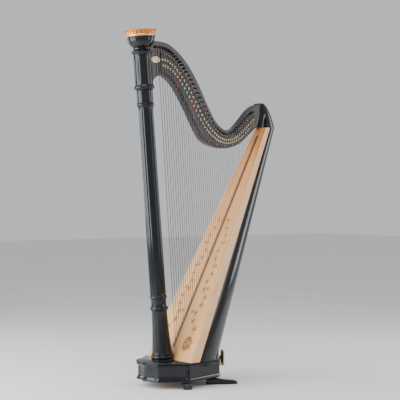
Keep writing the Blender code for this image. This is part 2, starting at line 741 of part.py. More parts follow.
def build_neck():
    neck = flat_plate("neck", neck_band(NECK_ROOT_X, NECK_END_X - GAP, 0, 1, 2 * NECK_STEPS), NECK_THICK,
                      "lacquer", (0, NECK_MIDDLE_Y, 0))
    profile = [(0, BELL_END + 2 * BORE), (BELL_RADIUS + 2 * GAP, BELL_END + 2 * BORE)]
    profile += bell_profile(2 * GAP) + capital_profile(2 * GAP)
    profile += [(0, SHAFT_END)]
    clearance = turned("column_clearance", profile, None, collection=cutters)
    clearance.hide_render = True
    clearance.display_type = "WIRE"
    combine(neck, clearance, "DIFFERENCE")
    combine(neck, bpy.data.objects["dowel_hole"], "DIFFERENCE")
    holes = bmesh.new()
    for k in range(STRINGS):
        spot = string_point(k, TUNING_ROW)
        x = tuning_pin_x(spot)
        add_rod(holes, (x, 2 * TUNING_PIN_NEAR_Y, spot.z), (x, 2 * TUNING_PIN_FAR_Y, spot.z),
                TUNING_PIN_RADIUS + 1.5 * GAP, PIN_SIDES)
    combine(neck, add_cutter("tuning_pin_holes", holes), "DIFFERENCE")

    dowel = bmesh.new()
    add_dowel(dowel, DOWEL_IN_COLUMN, DOWEL_IN_NECK, DOWEL_RADIUS)
    from_bmesh("neck_dowel", dowel, "inner_wood")

    loops = []
    for k in range(SHOULDER_LEVELS + 1):
        turn = math.pi / 2 * k / SHOULDER_LEVELS
        z = BOARD_TOP + GAP + (SHOULDER_TALL - GAP) * math.sin(turn)
        taper = math.cos(turn)
        straight = RIM_HEAD_DEPTH * (0.4 + 0.6 * taper)
        depth = between(SHOULDER_RIDGE, BOX_HEAD_DEPTH, taper) - straight
        half = between(NECK_THICK / 2, BOARD_HEAD_HALF, taper)
        middle = NECK_MIDDLE_Y * (1 - taper)
        turns = [math.pi * (i / SHOULDER_STEPS - 0.5) for i in range(SHOULDER_STEPS + 1)]
        outline = [(NECK_END_X, middle - half)]
        outline += [(NECK_END_X + straight + depth * math.cos(t), middle + half * math.sin(t)) for t in turns]
        outline += [(NECK_END_X, middle + half)]
        loops.append(level_loop(outline, z))
    loft("shoulder", loops, "lacquer")

    turns = [2 * math.pi * k / MEDALLION_SIDES for k in range(MEDALLION_SIDES)]
    oval = [(MEDALLION_HALF[0] * math.cos(turn), MEDALLION_HALF[1] * math.sin(turn)) for turn in turns]
    flat_plate("medallion", oval, MEDALLION_THICK, "ivory",
               (MEDALLION[0], NECK_FACE_Y - GAP - MEDALLION_THICK / 2, MEDALLION[1]))


def build_action():
    band = neck_band(PLATE_START_X, PLATE_END_X, PLATE_TOP, PLATE_LOW, NECK_STEPS)
    left_y = PLATE_Y + PLATE_THICK / 2
    left = flat_plate("action_plate_left", band, PLATE_THICK, "black_plate", (0, left_y, 0))
    pins = bmesh.new()
    first = 0
    while bridge_x(first) < PLATE_START_X + 2 * BRIDGE_PIN_RADIUS:
        first += 1
    for k in range(first, STRINGS):
        spot = string_point(k, BRIDGE_ROW)
        x = spot.x + BRIDGE_PIN_RADIUS + string_radius(k) + GAP
        add_rod(pins, (x, BRIDGE_PIN_NEAR_Y, spot.z), (x, left_y, spot.z), BRIDGE_PIN_RADIUS, PIN_SIDES)
    combine(left, add_cutter("bridge_pins", pins), "UNION")
    flat_plate("action_plate_right", band, PLATE_THICK, "black_plate",
               (0, NECK_FAR_Y + GAP + PLATE_THICK / 2, 0))

    for name, row in (("natural_discs", NATURAL_ROW), ("sharp_discs", SHARP_ROW)):
        shape = bmesh.new()
        spots = [string_point(k, row) for k in range(first, STRINGS)]
        for k, spot in zip(range(first, STRINGS), spots):
            add_rod(shape, (spot.x, DISC_NEAR_Y, spot.z), (spot.x, DISC_FAR_Y, spot.z),
                    DISC_SHARE * string_gap(k), PIN_SIDES)
        discs = from_bmesh(name, shape, "brass")
        middle = (DISC_NEAR_Y + DISC_FAR_Y) / 2
        route = [(spot.x, spot.z + TIE_SWAY * (-1) ** i) for i, spot in enumerate(spots)]
        tie = [(x, z + TIE_RADIUS) for x, z in route] + [(x, z - TIE_RADIUS) for x, z in route[::-1]]
        bar = flat_plate(name + "_tie", tie, TIE_RADIUS, None, (0, middle, 0), collection=cutters)
        bar.hide_render = True
        bar.display_type = "WIRE"
        combine(discs, bar, "UNION")


def build_strings():
    """Each octave is one body: its strings, the tuning pins they are wound on and the eyelet strip."""
    for start in range(0, STRINGS, OCTAVE):
        chosen = range(start, min(start + OCTAVE, STRINGS))
        number = math.ceil(STRINGS / OCTAVE) - start // OCTAVE
        shape = bmesh.new()
        for k in chosen:
            top = string_point(k, TUNING_ROW)
            add_rod(shape, string_foot(k), top, string_radius(k), STRING_SIDES)
        octave = from_bmesh("strings_octave_" + str(number), shape, "gut")
        pins = bmesh.new()
        for k in chosen:
            spot = string_point(k, TUNING_ROW)
            x = tuning_pin_x(spot)
            add_rod(pins, (x, TUNING_PIN_NEAR_Y, spot.z), (x, TUNING_PIN_FAR_Y, spot.z),
                    TUNING_PIN_RADIUS, PIN_SIDES)
        combine(octave, add_cutter(octave.name + "_pins", pins), "UNION")
        strip = bmesh.new()
        ends = [string_foot(chosen[0]), string_foot(chosen[-1])]
        along = (ends[1] - ends[0]).normalized() * 3 * STRIP_RADIUS / 2
        add_rod(strip, ends[0] - along, ends[1] + along, STRIP_RADIUS, STRIP_SIDES)
        combine(octave, add_cutter(octave.name + "_strip", strip), "UNION")


# ---------------------------------------------------------------- pedals and rods

def build_pedals():
    rail = bmesh.new()
    add_rod(rail, (FULCRUM_X, -FULCRUM_HALF, FULCRUM_Z), (FULCRUM_X, FULCRUM_HALF, FULCRUM_Z), FULCRUM_RADIUS,
            RAIL_SIDES)
    from_bmesh("fulcrum_rail", rail, "steel")

    for i, note in enumerate(PEDALS):
        start, leaves = pedal_line(i)
        heading = math.atan2(leaves.y - start.y, leaves.x - start.x)
        long = (leaves - start).length + LEVER_REACH
        pivot = make_empty("pedal_" + note + "_pivot", harp, (FULCRUM_X, 0, FULCRUM_Z))
        blade = bmesh.new()
        add_box(blade, (0, -LEVER_THICK / 2, -LEVER_TALL / 2), (long, LEVER_THICK / 2, LEVER_TALL / 2))
        place = Matrix.Translation(Vector((*start, LEVER_Z)) - pivot.location)
        place = place @ Matrix.Rotation(heading, 4, "Z")
        bmesh.ops.transform(blade, matrix=place, verts=blade.verts)
        from_bmesh("pedal_lever_" + note, blade, "brass", pivot)

        hinge = start + (leaves - start).normalized() * (long + TIP_BARREL + 2 * GAP)
        place = Vector((*hinge, LEVER_Z)) - pivot.location
        fold = make_empty("pedal_" + note + "_fold", pivot, place, (0, 0, heading))
        plate = bmesh.new()
        add_box(plate, (-TIP_THICK / 2, -TIP_WIDE / 2, 0), (TIP_THICK / 2, TIP_WIDE / 2, TIP_LONG))
        tip = from_bmesh("pedal_tip_" + note, plate, "brass", fold)
        barrel = bmesh.new()
        add_rod(barrel, (0, -TIP_WIDE / 2 + GAP, 0), (0, TIP_WIDE / 2 - GAP, 0), TIP_BARREL, BARREL_SIDES)
        combine(tip, add_cutter("pedal_barrel_" + note, barrel, fold), "UNION")

        y = rod_y(i)
        foot = (LEVER_Z + LEVER_TALL / 2 + ROD_CLEAR - BOARD_FOOT_Z) / math.cos(LEAN)
        rod = bmesh.new()
        add_rod(rod, (0, y, foot), (0, y, ROD_END), ROD_RADIUS, ROD_SIDES)
        from_bmesh("pedal_rod_" + note, rod, "steel", column)

    holes = bmesh.new()
    for i in range(len(PEDALS)):
        add_rod(holes, (0, rod_y(i), 0), (0, rod_y(i), SHAFT_END), ROD_HOLE, ROD_SIDES)
    rod_holes = add_cutter("rod_holes", holes, column)
    for name, station in GUIDE_STATIONS.items():
        radius = BORE - 2 * GAP
        disc = [(0, station + GUIDE_THICK), (radius, station + GUIDE_THICK), (radius, station), (0, station)]
        combine(turned(name, disc, "inner_wood"), rod_holes, "DIFFERENCE")


def centre_harp():
    """Moves the harp so that the world's origin is at the bottom centre of its box."""
    bpy.context.view_layer.update()
    graph = bpy.context.evaluated_depsgraph_get()
    points = []
    for piece in parts.objects:
        if piece.type == "MESH":
            evaluated = piece.evaluated_get(graph)
            points += [evaluated.matrix_world @ vert.co for vert in evaluated.data.vertices]
    for axis in (0, 1):
        values = [point[axis] for point in points]
        harp.location[axis] = -(min(values) + max(values)) / 2
    print("harp_frame at", tuple(harp.location))


build_soundbox()
build_base()
build_feet()
build_column()
build_neck()
build_action()
build_strings()
build_pedals()
centre_harp()
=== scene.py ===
import math

import bmesh
import bpy
from mathutils import Matrix, Vector


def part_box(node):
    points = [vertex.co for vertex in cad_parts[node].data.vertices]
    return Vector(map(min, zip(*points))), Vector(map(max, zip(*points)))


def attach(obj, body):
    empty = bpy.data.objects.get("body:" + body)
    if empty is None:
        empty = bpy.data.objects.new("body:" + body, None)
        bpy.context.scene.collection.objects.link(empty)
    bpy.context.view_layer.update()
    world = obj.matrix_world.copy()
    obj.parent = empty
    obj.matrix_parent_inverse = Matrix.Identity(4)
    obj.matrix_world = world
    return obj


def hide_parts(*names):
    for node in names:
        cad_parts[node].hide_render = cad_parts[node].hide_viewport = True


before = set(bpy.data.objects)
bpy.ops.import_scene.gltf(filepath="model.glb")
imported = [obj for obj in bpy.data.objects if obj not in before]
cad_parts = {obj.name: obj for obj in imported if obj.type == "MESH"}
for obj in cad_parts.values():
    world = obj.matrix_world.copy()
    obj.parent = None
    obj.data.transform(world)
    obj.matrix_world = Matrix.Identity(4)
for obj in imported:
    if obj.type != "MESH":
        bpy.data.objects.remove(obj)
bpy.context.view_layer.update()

# ---------------------------------------------------------------- sizes, in metres
# The harp is drawn with the column's foot at x = 0, as its solids were, and HARP carries it to the frame.
GAP = 0.0003
FULL_TURN = 2 * math.pi
TUBE_SIDES = 8
BOARD_FOOT_X = 0.0395
BOARD_THICK = 0.009
BOARD_FOOT_HALF = 0.199
BOARD_HEAD_HALF = 0.0476
board_low, board_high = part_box("soundboard")
HARP_X = board_low.x - BOARD_FOOT_X
BOARD_FOOT_Z = board_low.z
BOARD_TOP_Z = board_high.z
BOARD_RISE = BOARD_TOP_Z - BOARD_FOOT_Z
BOARD_RUN = board_high.x - board_low.x - BOARD_THICK
BOARD_SLANT = math.atan2(BOARD_RUN, BOARD_RISE)
HARP = Matrix.Translation((HARP_X, 0, 0))

RIB_THICK = 0.004
RIM_FOOT_DEPTH = 0.0556
RIM_HEAD_DEPTH = 0.0275
BOX_FOOT_DEPTH = 0.285
BOX_HEAD_DEPTH = 0.091
BOX_WALL = 0.008
BOX_SHADOW = 0.001
BOX_STEPS = 72
BOX_LEVELS = 36
EDGE_LEVELS = 30
HOLE_STEPS = 48
VINE_STEPS = 90
CLUSTER_LEAVES = 64
LEAF_TURN = 2.4
# Each sound hole: share of the board's rise, half height, half width
SOUND_HOLES = ((0.10, 0.062, 0.045), (0.285, 0.058, 0.039), (0.47, 0.050, 0.033),
               (0.64, 0.043, 0.026), (0.78, 0.035, 0.020))

# Corners of the base on one side: x, y, radius of the rounding, and how far the wall after it bows out
BASE_CORNERS = ((-0.105, 0.097, 0.030, -0.010), (0.030, 0.198, 0.014, 0.0),
                (0.287, 0.132, 0.014, 0.0), (0.355, 0.050, 0.014, 0.0))
BASE_FRONT_BOW = 0.012
CORNER_STEPS = 7
WALL_STEPS = 12
FOOT_TALL = 0.035
# Each step of the base's mouldings: how far it lies inside the base's plan, and its height over the feet
# or under the top
BASE_FOOT_MOULDING = ((0.0085, 0.001), (0.004, 0), (0.0, 0.002), (-0.001, 0.005), (0.0, 0.009),
                      (0.001, 0.0115), (0.0035, 0.0125), (0.0045, 0.0155), (0.0070, 0.0185),
                      (0.0080, 0.0225), (0.0080, 0.040))
BASE_TOP_MOULDING = ((0.0080, 0.0225), (0.0068, 0.0185), (0.0045, 0.0160), (0.0040, 0.0130), (0.0015, 0.0120),
                     (-0.0005, 0.009), (-0.001, 0.006), (0.0, 0.002), (0.003, 0), (0.0085, 0))
SIDES = (("left", -1), ("right", 1))
BASE_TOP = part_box("base_body")[1].z
BASE_INSET = 0.008
SLOT_PITCH = 0.040
PILASTER_STEPS = 96
REED_LEVELS = 8
CLAWS = 4
CLAW_SPREAD = 0.42
CLAW_VOXEL = 0.0014
REAR_ROOT = (0.215, 0.100)
REAR_TIP = (0.338, 0.178)
REAR_HALF = 0.026
REAR_TALL = 0.0345
REAR_WIDTHS = ((0, 1.0), (0.30, 0.97), (0.60, 0.84), (0.80, 0.88), (0.92, 0.76), (0.98, 0.42), (1.0, 0.16))
REAR_HEIGHTS = ((0, 1.0), (0.30, 0.96), (0.60, 0.74), (0.80, 0.66), (0.92, 0.56), (0.98, 0.38), (1.0, 0.22))
REAR_STEPS = 28
REAR_SIDES = 28

LEVER_START_X = -0.007
ROD_PITCH = 0.0065

LEAN = math.radians(4.71)
COLUMN = HARP @ Matrix.Translation((0, 0, BOARD_FOOT_Z)) @ Matrix.Rotation(-LEAN, 4, "Y")
SHAFT_START = 0.345
SHAFT_END = 1.340
SHAFT_FOOT_RADIUS = 0.0425
SHAFT_HEAD_RADIUS = 0.0400
CAPITAL_RADIUS = 0.0485
CAPITAL_END = 1.652
BELL_END = 1.712
FLUTES = 12
SHAFT_STEPS = 240
CROWN_TIPS = 20

NECK_FACE_Y = 0.005
NECK_THICK = 0.044
NECK_TOP = ((-0.110, 1.833), (-0.020, 1.832), (0.034, 1.826), (0.087, 1.800), (0.150, 1.749),
            (0.205, 1.685), (0.257, 1.606), (0.310, 1.511), (0.362, 1.430), (0.412, 1.387),
            (0.452, 1.376), (0.500, 1.392), (0.550, 1.438), (0.600, 1.490), (0.645, 1.522), (0.690, 1.537))
NECK_LOW = ((-0.110, 1.582), (-0.072, 1.588), (-0.054, 1.622), (-0.030, 1.646), (0.000, 1.655),
            (0.040, 1.640), (0.087, 1.600), (0.137, 1.532), (0.188, 1.450), (0.234, 1.371),
            (0.276, 1.318), (0.340, 1.286), (0.420, 1.275), (0.490, 1.286), (0.541, 1.307),
            (0.590, 1.342), (0.640, 1.384), (0.662, 1.399), (0.690, 1.399))
NECK_END_X = 0.689
SHOULDER_TALL = 0.141
SHOULDER_RIDGE = 0.030
SHOULDER_LEVELS = 26
PLATE_THICK = 0.003
PLATES_FAR_Y = NECK_FACE_Y + NECK_THICK + GAP + PLATE_THICK
PLATE_START_X = -0.013
PLATE_END_X = 0.655
PLATE_TOP = 0.29
PLATE_LOW = 0.92
PLATE_SCREWS = 13
PLATE_SCREW_RADIUS = 0.0030
SPINDLE_RADIUS = 0.0024
MEDALLION = (-0.042, 1.733)
MEDALLION_HALF = (0.0285, 0.0182)

STRINGS = 47
OCTAVE = 7
WOUND_STRINGS = 12
FIRST_STRING_X = -0.036
LAST_STRING_X = 0.63536
NARROWING = 0.0025
FIRST_FOOT_Z = 0.240
LAST_FOOT_Z = 1.315
STRING_TOP_Y = -0.008
BASS_RADIUS = 0.0014
TREBLE_RADIUS = 0.0006
STRIP_OFFSET = 0.0025
WRAPS = 3.2
WRAP_STEPS = 40
TUNING_ROW = (0.16, 0.22)
BRIDGE_ROW = (0.38, 0.42)
NATURAL_ROW = (0.54, 0.55)
SHARP_ROW = (0.72, 0.72)
TUNING_PIN_RADIUS = 0.0035
TUNING_PIN_NEAR_Y = -0.014
TUNING_PIN_FAR_Y = 0.066
BRIDGE_PIN_RADIUS = 0.0022
BRIDGE_PIN_NEAR_Y = -0.013
DISC_SHARE = 0.40
DISC_NEAR_Y = -0.0025
DISC_FAR_Y = 0.0010

PEDALS = ("d", "c", "b", "e", "f", "g", "a")
TIP_LONG = 0.070
TIP_WIDE = 0.022
TIP_THICK = 0.008
TIP_BARREL = 0.005
TIP_RIBS = 7
LEVER_Z = 0.098

FLOOR_SIZE = 40
LIGHT_AIM = (0, 0, 1.0)
# The camera's place is measured from the column's foot, like the sizes above, and it looks level
CAMERA_PLACE = (-3.6417, -5.0170, 0.9884)
CAMERA_TURN = math.radians(-37.82)
CAMERA_LENS = 104.75


# ---------------------------------------------------------------- materials

def set_inputs(node, values):
    for name, value in values.items():
        node.inputs[name].default_value = value


def blank(name, values):
    """A new material: its node tree, its shader with these values, and the object's own coordinates."""
    material = bpy.data.materials.new(name)
    material.use_nodes = True
    tree = material.node_tree
    shader = tree.nodes["Principled BSDF"]
    set_inputs(shader, values)
    return material, tree, shader, tree.nodes.new("ShaderNodeTexCoord").outputs["Object"]


def stretched(tree, place, size, turn=(0, 0, 0)):
    """Coordinates divided by the size of a feature, the same or its own along each axis, after a turn."""
    node = tree.nodes.new("ShaderNodeMapping")
    node.vector_type = "TEXTURE"
    set_inputs(node, {"Rotation": turn, "Scale": size if isinstance(size, tuple) else (size,) * 3})
    tree.links.new(place, node.inputs["Vector"])
    return node.outputs["Vector"]


def noise(tree, place, size, detail=4.0, rough=0.55, distortion=0.0, turn=(0, 0, 0)):
    node = tree.nodes.new("ShaderNodeTexNoise")
    set_inputs(node, {"Scale": 1.0, "Detail": detail, "Roughness": rough, "Distortion": distortion})
    tree.links.new(stretched(tree, place, size, turn), node.inputs["Vector"])
    return node.outputs["Fac"]


def bands(tree, place, size, axis, values, turn=(0, 0, 0)):
    node = tree.nodes.new("ShaderNodeTexWave")
    node.bands_direction = axis
    set_inputs(node, {"Scale": 1.0, **values})
    tree.links.new(stretched(tree, place, size, turn), node.inputs["Vector"])
    return node.outputs["Fac"]


def ramp(tree, value, stops):
    node = tree.nodes.new("ShaderNodeValToRGB")
    band = node.color_ramp
    while len(band.elements) < len(stops):
        band.elements.new(0.5)
    for element, (at, color) in zip(band.elements, stops):
        element.position = at
        element.color = (*color, 1)
    tree.links.new(value, node.inputs["Fac"])
    return node.outputs["Color"]


def paint(tree, shader, color):
    tree.links.new(color, shader.inputs["Base Color"])


def multiplied(tree, share, first, second):
    node = tree.nodes.new("ShaderNodeMix")
    node.data_type = "RGBA"
    node.blend_type = "MULTIPLY"
    node.inputs["Factor"].default_value = share
    tree.links.new(first, node.inputs["A"])
    tree.links.new(second, node.inputs["B"])
    return node.outputs["Result"]


def roughen(tree, shader, value, low, high):
    """Spreads the middle of a noise over a range of roughness."""
    node = tree.nodes.new("ShaderNodeMapRange")
    set_inputs(node, {"From Min": 0.3, "From Max": 0.7, "To Min": low, "To Max": high})
    tree.links.new(value, node.inputs["Value"])
    tree.links.new(node.outputs["Result"], shader.inputs["Roughness"])


def bump(tree, shader, value, strength, depth):
    node = tree.nodes.new("ShaderNodeBump")
    set_inputs(node, {"Strength": strength, "Distance": depth})
    tree.links.new(value, node.inputs["Height"])
    tree.links.new(node.outputs["Normal"], shader.inputs["Normal"])


def make_lacquer():
    """Polished black lacquer with a faint haze and a trace of orange peel."""
    material, tree, shader, place = blank("black_lacquer", {"Specular IOR Level": 0.38})
    haze = noise(tree, place, 0.09)
    paint(tree, shader, ramp(tree, haze, ((0.3, (0.0040, 0.0045, 0.0060)), (0.7, (0.0075, 0.0085, 0.0115)))))
    roughen(tree, shader, noise(tree, place, 0.05), 0.09, 0.15)
    bump(tree, shader, noise(tree, place, 0.012, 2.0), 0.02, 0.0002)
    return material


def make_wood(name, pale, dark, streak, roughness, grain=0.0016, long=0.30, coat=0.0, growth=0.75,
              head=(1, 1, 1)):
    """Wood with its grain along the soundboard: fine fibres and growth lines over broad streaks."""
    material, tree, shader, place = blank(name, {"Coat Weight": coat, "Coat Roughness": 0.18})
    turn = (0, BOARD_SLANT, 0)
    fibre = noise(tree, place, (grain, grain, long), 3.0, 0.6, 0.0, turn)
    broad = noise(tree, place, (0.05, 0.022, 0.9), 5.0, 0.6, 0.5, turn)
    rings = bands(tree, place, (0.05, 0.0085, 0.9), "Y", {"Distortion": 1.5, "Detail": 2.0}, turn)
    ground = ramp(tree, broad, ((0.30, pale), (0.52, pale), (0.74, streak)))
    lines = ramp(tree, rings, ((0.0, (1, 1, 1)), (0.72, (0.97, 0.95, 0.92)), (1.0, (0.80, 0.70, 0.58))))
    fine = ramp(tree, fibre, ((0.30, dark), (0.60, (1, 1, 1))))
    height = tree.nodes.new("ShaderNodeSeparateXYZ")
    tree.links.new(stretched(tree, place, BOARD_TOP_Z), height.inputs["Vector"])
    warmth = ramp(tree, height.outputs["Z"], ((0.45, (1, 1, 1)), (0.95, head)))
    color = multiplied(tree, growth, ground, lines)
    color = multiplied(tree, 1.0, color, warmth)
    paint(tree, shader, multiplied(tree, 0.35, color, fine))
    roughen(tree, shader, fibre, roughness - 0.06, roughness + 0.06)
    bump(tree, shader, fibre, 0.12, 0.0002)
    return material


def make_metal(name, bright, dull, low, high, patch=0.03, grain=0.0012, strength=0.10, metallic=1.0):
    """Metal with duller patches and the fine marks of its finishing."""
    material, tree, shader, place = blank(name, {"Metallic": metallic})
    marks = noise(tree, place, grain, 3.0, 0.6)
    paint(tree, shader, ramp(tree, noise(tree, place, patch, 5.0, 0.6), ((0.32, dull), (0.58, bright))))
    roughen(tree, shader, marks, low, high)
    bump(tree, shader, marks, strength, 0.0002)
    return material


def make_soft(name, first, second, size, low, high, strength, depth=0.0004, subsurface=0.0):
    """A matt or waxy finish with mottled colour."""
    material, tree, shader, place = blank(name, {"Subsurface Weight": subsurface, "Subsurface Scale": 0.002})
    mottle = noise(tree, place, size, 6.0, 0.65)
    paint(tree, shader, ramp(tree, mottle, ((0.32, first), (0.68, second))))
    roughen(tree, shader, mottle, low, high)
    bump(tree, shader, noise(tree, place, size / 6, 3.0), strength, depth)
    return material


def make_string_look(name, pale, dark, roughness, wound=False):
    """Gut varies slowly along its length; a wound string shows its winding as fine rings."""
    values = {"Metallic": 0.85} if wound else {"Subsurface Weight": 0.15, "Subsurface Scale": 0.002}
    material, tree, shader, place = blank(name, values)
    drift = noise(tree, place, (0.004, 0.004, 0.06))
    paint(tree, shader, ramp(tree, drift, ((0.3, dark), (0.7, pale))))
    roughen(tree, shader, drift, roughness - 0.05, roughness + 0.08)
    if wound:
        bump(tree, shader, bands(tree, place, 0.002, "Z", {}), 0.6, 0.0003)
    else:
        bump(tree, shader, drift, 0.1, 0.0001)
    return material


LOOKS = {
    "lacquer": make_lacquer(),
    "spruce": make_wood("varnished_spruce", (0.80, 0.45, 0.165), (0.66, 0.47, 0.29), (0.60, 0.27, 0.075),
                        0.40, coat=0.1, head=(0.92, 0.72, 0.50)),
    "maple": make_wood("pale_maple", (0.80, 0.47, 0.25), (0.84, 0.72, 0.60), (0.68, 0.36, 0.18), 0.34,
                       grain=0.0012, long=0.60, coat=0.1, growth=0.0),
    # Dark brown wood: the purfling's real colour, and on the string rib partly painted shade that stands for
    # the rib's shaded side
    "dark_wood_and_rib_shade": make_wood("dark_wood_with_painted_rib_shade", (0.20, 0.085, 0.035), (0.35, 0.25, 0.20), (0.10, 0.040, 0.018),
                          0.32, coat=0.25, growth=0.3),
    "inner_wood": make_wood("bare_inner_wood", (0.42, 0.28, 0.16), (0.55, 0.42, 0.30), (0.30, 0.18, 0.09),
                            0.62),
    "gold": make_metal("gold_leaf", (0.66, 0.245, 0.065), (0.50, 0.165, 0.040), 0.38, 0.48, 0.05,
                       strength=0.02),
    "bright_gold": make_metal("burnished_gold", (0.95, 0.53, 0.27), (0.80, 0.38, 0.15), 0.18, 0.28,
                              strength=0.04),
    "decal_gold": make_metal("painted_gold", (0.20, 0.060, 0.004), (0.09, 0.026, 0.002), 0.34, 0.50, 0.008,
                             metallic=0.0),
    "leaf_gold": make_metal("faded_gold", (0.36, 0.15, 0.024), (0.24, 0.09, 0.014), 0.35, 0.55, 0.02,
                            metallic=0.0),
    "plate": make_metal("dark_plate", (0.052, 0.054, 0.054), (0.034, 0.036, 0.037), 0.30, 0.44, 0.05,
                        (0.02, 0.02, 0.0006), 0.05, 0.5),
    "brass": make_metal("lacquered_brass", (0.44, 0.38, 0.28), (0.24, 0.20, 0.13), 0.20, 0.34, 0.01),
    "pedal_brass": make_metal("worn_brass", (0.50, 0.36, 0.16), (0.26, 0.17, 0.07), 0.26, 0.44, 0.015,
                              strength=0.2),
    "steel": make_metal("steel", (0.66, 0.67, 0.69), (0.44, 0.45, 0.47), 0.16, 0.30, 0.02),
    "dark_pin": make_metal("blued_steel", (0.10, 0.11, 0.14), (0.04, 0.045, 0.055), 0.16, 0.30, 0.01),
    "ivory": make_soft("ivory", (0.78, 0.71, 0.55), (0.90, 0.86, 0.74), 0.012, 0.22, 0.38, 0.08, 0.0002, 0.2),
    "felt": make_soft("dark_felt", (0.020, 0.019, 0.021), (0.036, 0.034, 0.037), 0.003, 0.85, 0.98, 0.6),
    "gut": make_string_look("gut_string", (0.085, 0.047, 0.034), (0.050, 0.027, 0.020), 0.40),
    "red_gut": make_string_look("red_string", (0.26, 0.014, 0.016), (0.16, 0.008, 0.010), 0.36),
    "black_gut": make_string_look("black_string", (0.030, 0.032, 0.045), (0.012, 0.013, 0.02), 0.34),
    "wound": make_string_look("wound_string", (0.085, 0.050, 0.038), (0.045, 0.026, 0.020), 0.36, True),
    "wound_copper": make_string_look("wound_copper", (0.26, 0.055, 0.030), (0.14, 0.028, 0.016), 0.34, True),
    "wound_dark": make_string_look("wound_dark", (0.10, 0.10, 0.11), (0.05, 0.05, 0.055), 0.30, True),
}


# ---------------------------------------------------------------- building tools

def finished(name, shape, look, stands_for=(), body="harp", place=HARP, crease=40.0):
    """Turns a mesh under construction into a piece that rides on a body and stands for CAD nodes."""
    bmesh.ops.recalc_face_normals(shape, faces=shape.faces)
    mesh = bpy.data.meshes.new(name)
    shape.to_mesh(mesh)
    shape.free()
    mesh.shade_smooth()
    mesh.set_sharp_from_angle(angle=math.radians(crease))
    mesh.materials.append(LOOKS[look])
    made = bpy.data.objects.new(name, mesh)
    bpy.context.scene.collection.objects.link(made)
    made.matrix_world = place
    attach(made, body)
    if stands_for:
        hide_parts(*stands_for)
    return made


def round_edges(made, width, segments, angle=35.0):
    """Rounds the edges of a piece; split points are joined first, so that its faces meet."""
    weld = made.modifiers.new("weld", "WELD")
    weld.merge_threshold = 0.00001
    bevel = made.modifiers.new("round", "BEVEL")
    bevel.width = width
    bevel.segments = segments
    bevel.limit_method = "ANGLE"
    bevel.angle_limit = math.radians(angle)
    bevel.harden_normals = True


def between(low, high, share):
    return low + (high - low) * share


def turns(count, whole=FULL_TURN):
    """Turns that share out a whole circle or a part of one."""
    return [whole * k / count for k in range(count)]


def ray(turn, reach=1.0):
    return Vector((math.cos(turn), math.sin(turn))) * reach


def add_grid(shape, rings, joined=False):
    """Skins closed rows of points, with the last row joined to the first or with both ends closed."""
    rows = [[shape.verts.new(point) for point in ring] for ring in rings]
    count = len(rows[0])
    pairs = list(zip(rows, rows[1:]))
    if joined:
        pairs.append((rows[-1], rows[0]))
    for low, high in pairs:
        for i in range(count):
            j = (i + 1) % count
            shape.faces.new((low[i], low[j], high[j], high[i]))
    if not joined:
        shape.faces.new(rows[0])
        shape.faces.new(rows[-1])


def skinned(name, rings, look, stands_for=(), joined=False, place=HARP, crease=40.0):
    shape = bmesh.new()
    add_grid(shape, rings, joined)
    return finished(name, shape, look, stands_for, place=place, crease=crease)


def add_lathe(shape, profile, steps, place=Matrix(), swell=None):
    """A turned form round Z: (radius, height) pairs, with swell(turn, height) added to the radius."""
    rows = []
    for radius, height in profile:
        if radius < 1e-7:
            rows.append([shape.verts.new(place @ Vector((0, 0, height)))])
            continue
        row = []
        for turn in turns(steps):
            r = radius + (swell(turn, height) if swell else 0)
            row.append(shape.verts.new(place @ Vector((*ray(turn, r), height))))
        rows.append(row)
    for low, high in zip(rows, rows[1:]):
        for i in range(steps):
            j = (i + 1) % steps
            corners = [low[i % len(low)], low[j % len(low)], high[j % len(high)], high[i % len(high)]]
            face = list(dict.fromkeys(corners))
            if len(face) > 2:
                shape.faces.new(face)


def turned(name, profile, steps, look, stands_for=(), swell=None):
    """A turned piece of the column."""
    shape = bmesh.new()
    add_lathe(shape, profile, steps, swell=swell)
    finished(name, shape, look, stands_for, place=COLUMN)


def add_tube(shape, points, radius):
    points = [Vector(point) for point in points]
    rings = []
    side = None
    for i, point in enumerate(points):
        ahead = points[min(i + 1, len(points) - 1)]
        behind = points[max(i - 1, 0)]
        along = (ahead - behind).normalized()
        if side is None:
            side = along.orthogonal().normalized()
        side = (side - along * side.dot(along)).normalized()
        other = along.cross(side)
        rings.append([point + (side * math.cos(t) + other * math.sin(t)) * radius for t in turns(TUBE_SIDES)])
    add_grid(shape, rings)


def add_box(shape, low, high, place):
    low = Vector(low)
    high = Vector(high)
    place = place @ Matrix.Translation((low + high) / 2) @ Matrix.Diagonal((*(high - low), 1))
    bmesh.ops.create_cube(shape, size=1.0, matrix=place)


def facing_near(x, y, z):
    """A frame whose own Z points to the string side (-Y)."""
    return Matrix.Translation((x, y, z)) @ Matrix.Rotation(math.pi / 2, 4, "X")


def facing_far(x, y, z):
    return Matrix.Translation((x, y, z)) @ Matrix.Rotation(-math.pi / 2, 4, "X")


def smooth_value(points, x):
    """Height of the smooth curve through the points at x."""
    i = 0
    while i < len(points) - 2 and points[i + 1][0] < x:
        i += 1
    (x0, z0), (x1, z1) = points[i], points[i + 1]

    def slope(k):
        before = points[max(k - 1, 0)]
        after = points[min(k + 1, len(points) - 1)]
        return (after[1] - before[1]) / (after[0] - before[0])

    span = x1 - x0
    t = (x - x0) / span
    start = (1 + 2 * t) * (1 - t) ** 2 * z0 + t * (1 - t) ** 2 * span * slope(i)
    end = t * t * (3 - 2 * t) * z1 + t * t * (t - 1) * span * slope(i + 1)
    return start + end


def smooth_profile(points, steps=5):
    """Eases a turned profile in and out of each stretch between two (radius, height) pairs."""
    fine = []
    for (r0, z0), (r1, z1) in zip(points, points[1:]):
        for k in range(steps):
            t = k / steps
            ease = t * t * (3 - 2 * t)
            fine.append((between(r0, r1, ease), between(z0, z1, t)))
    return fine + [points[-1]]


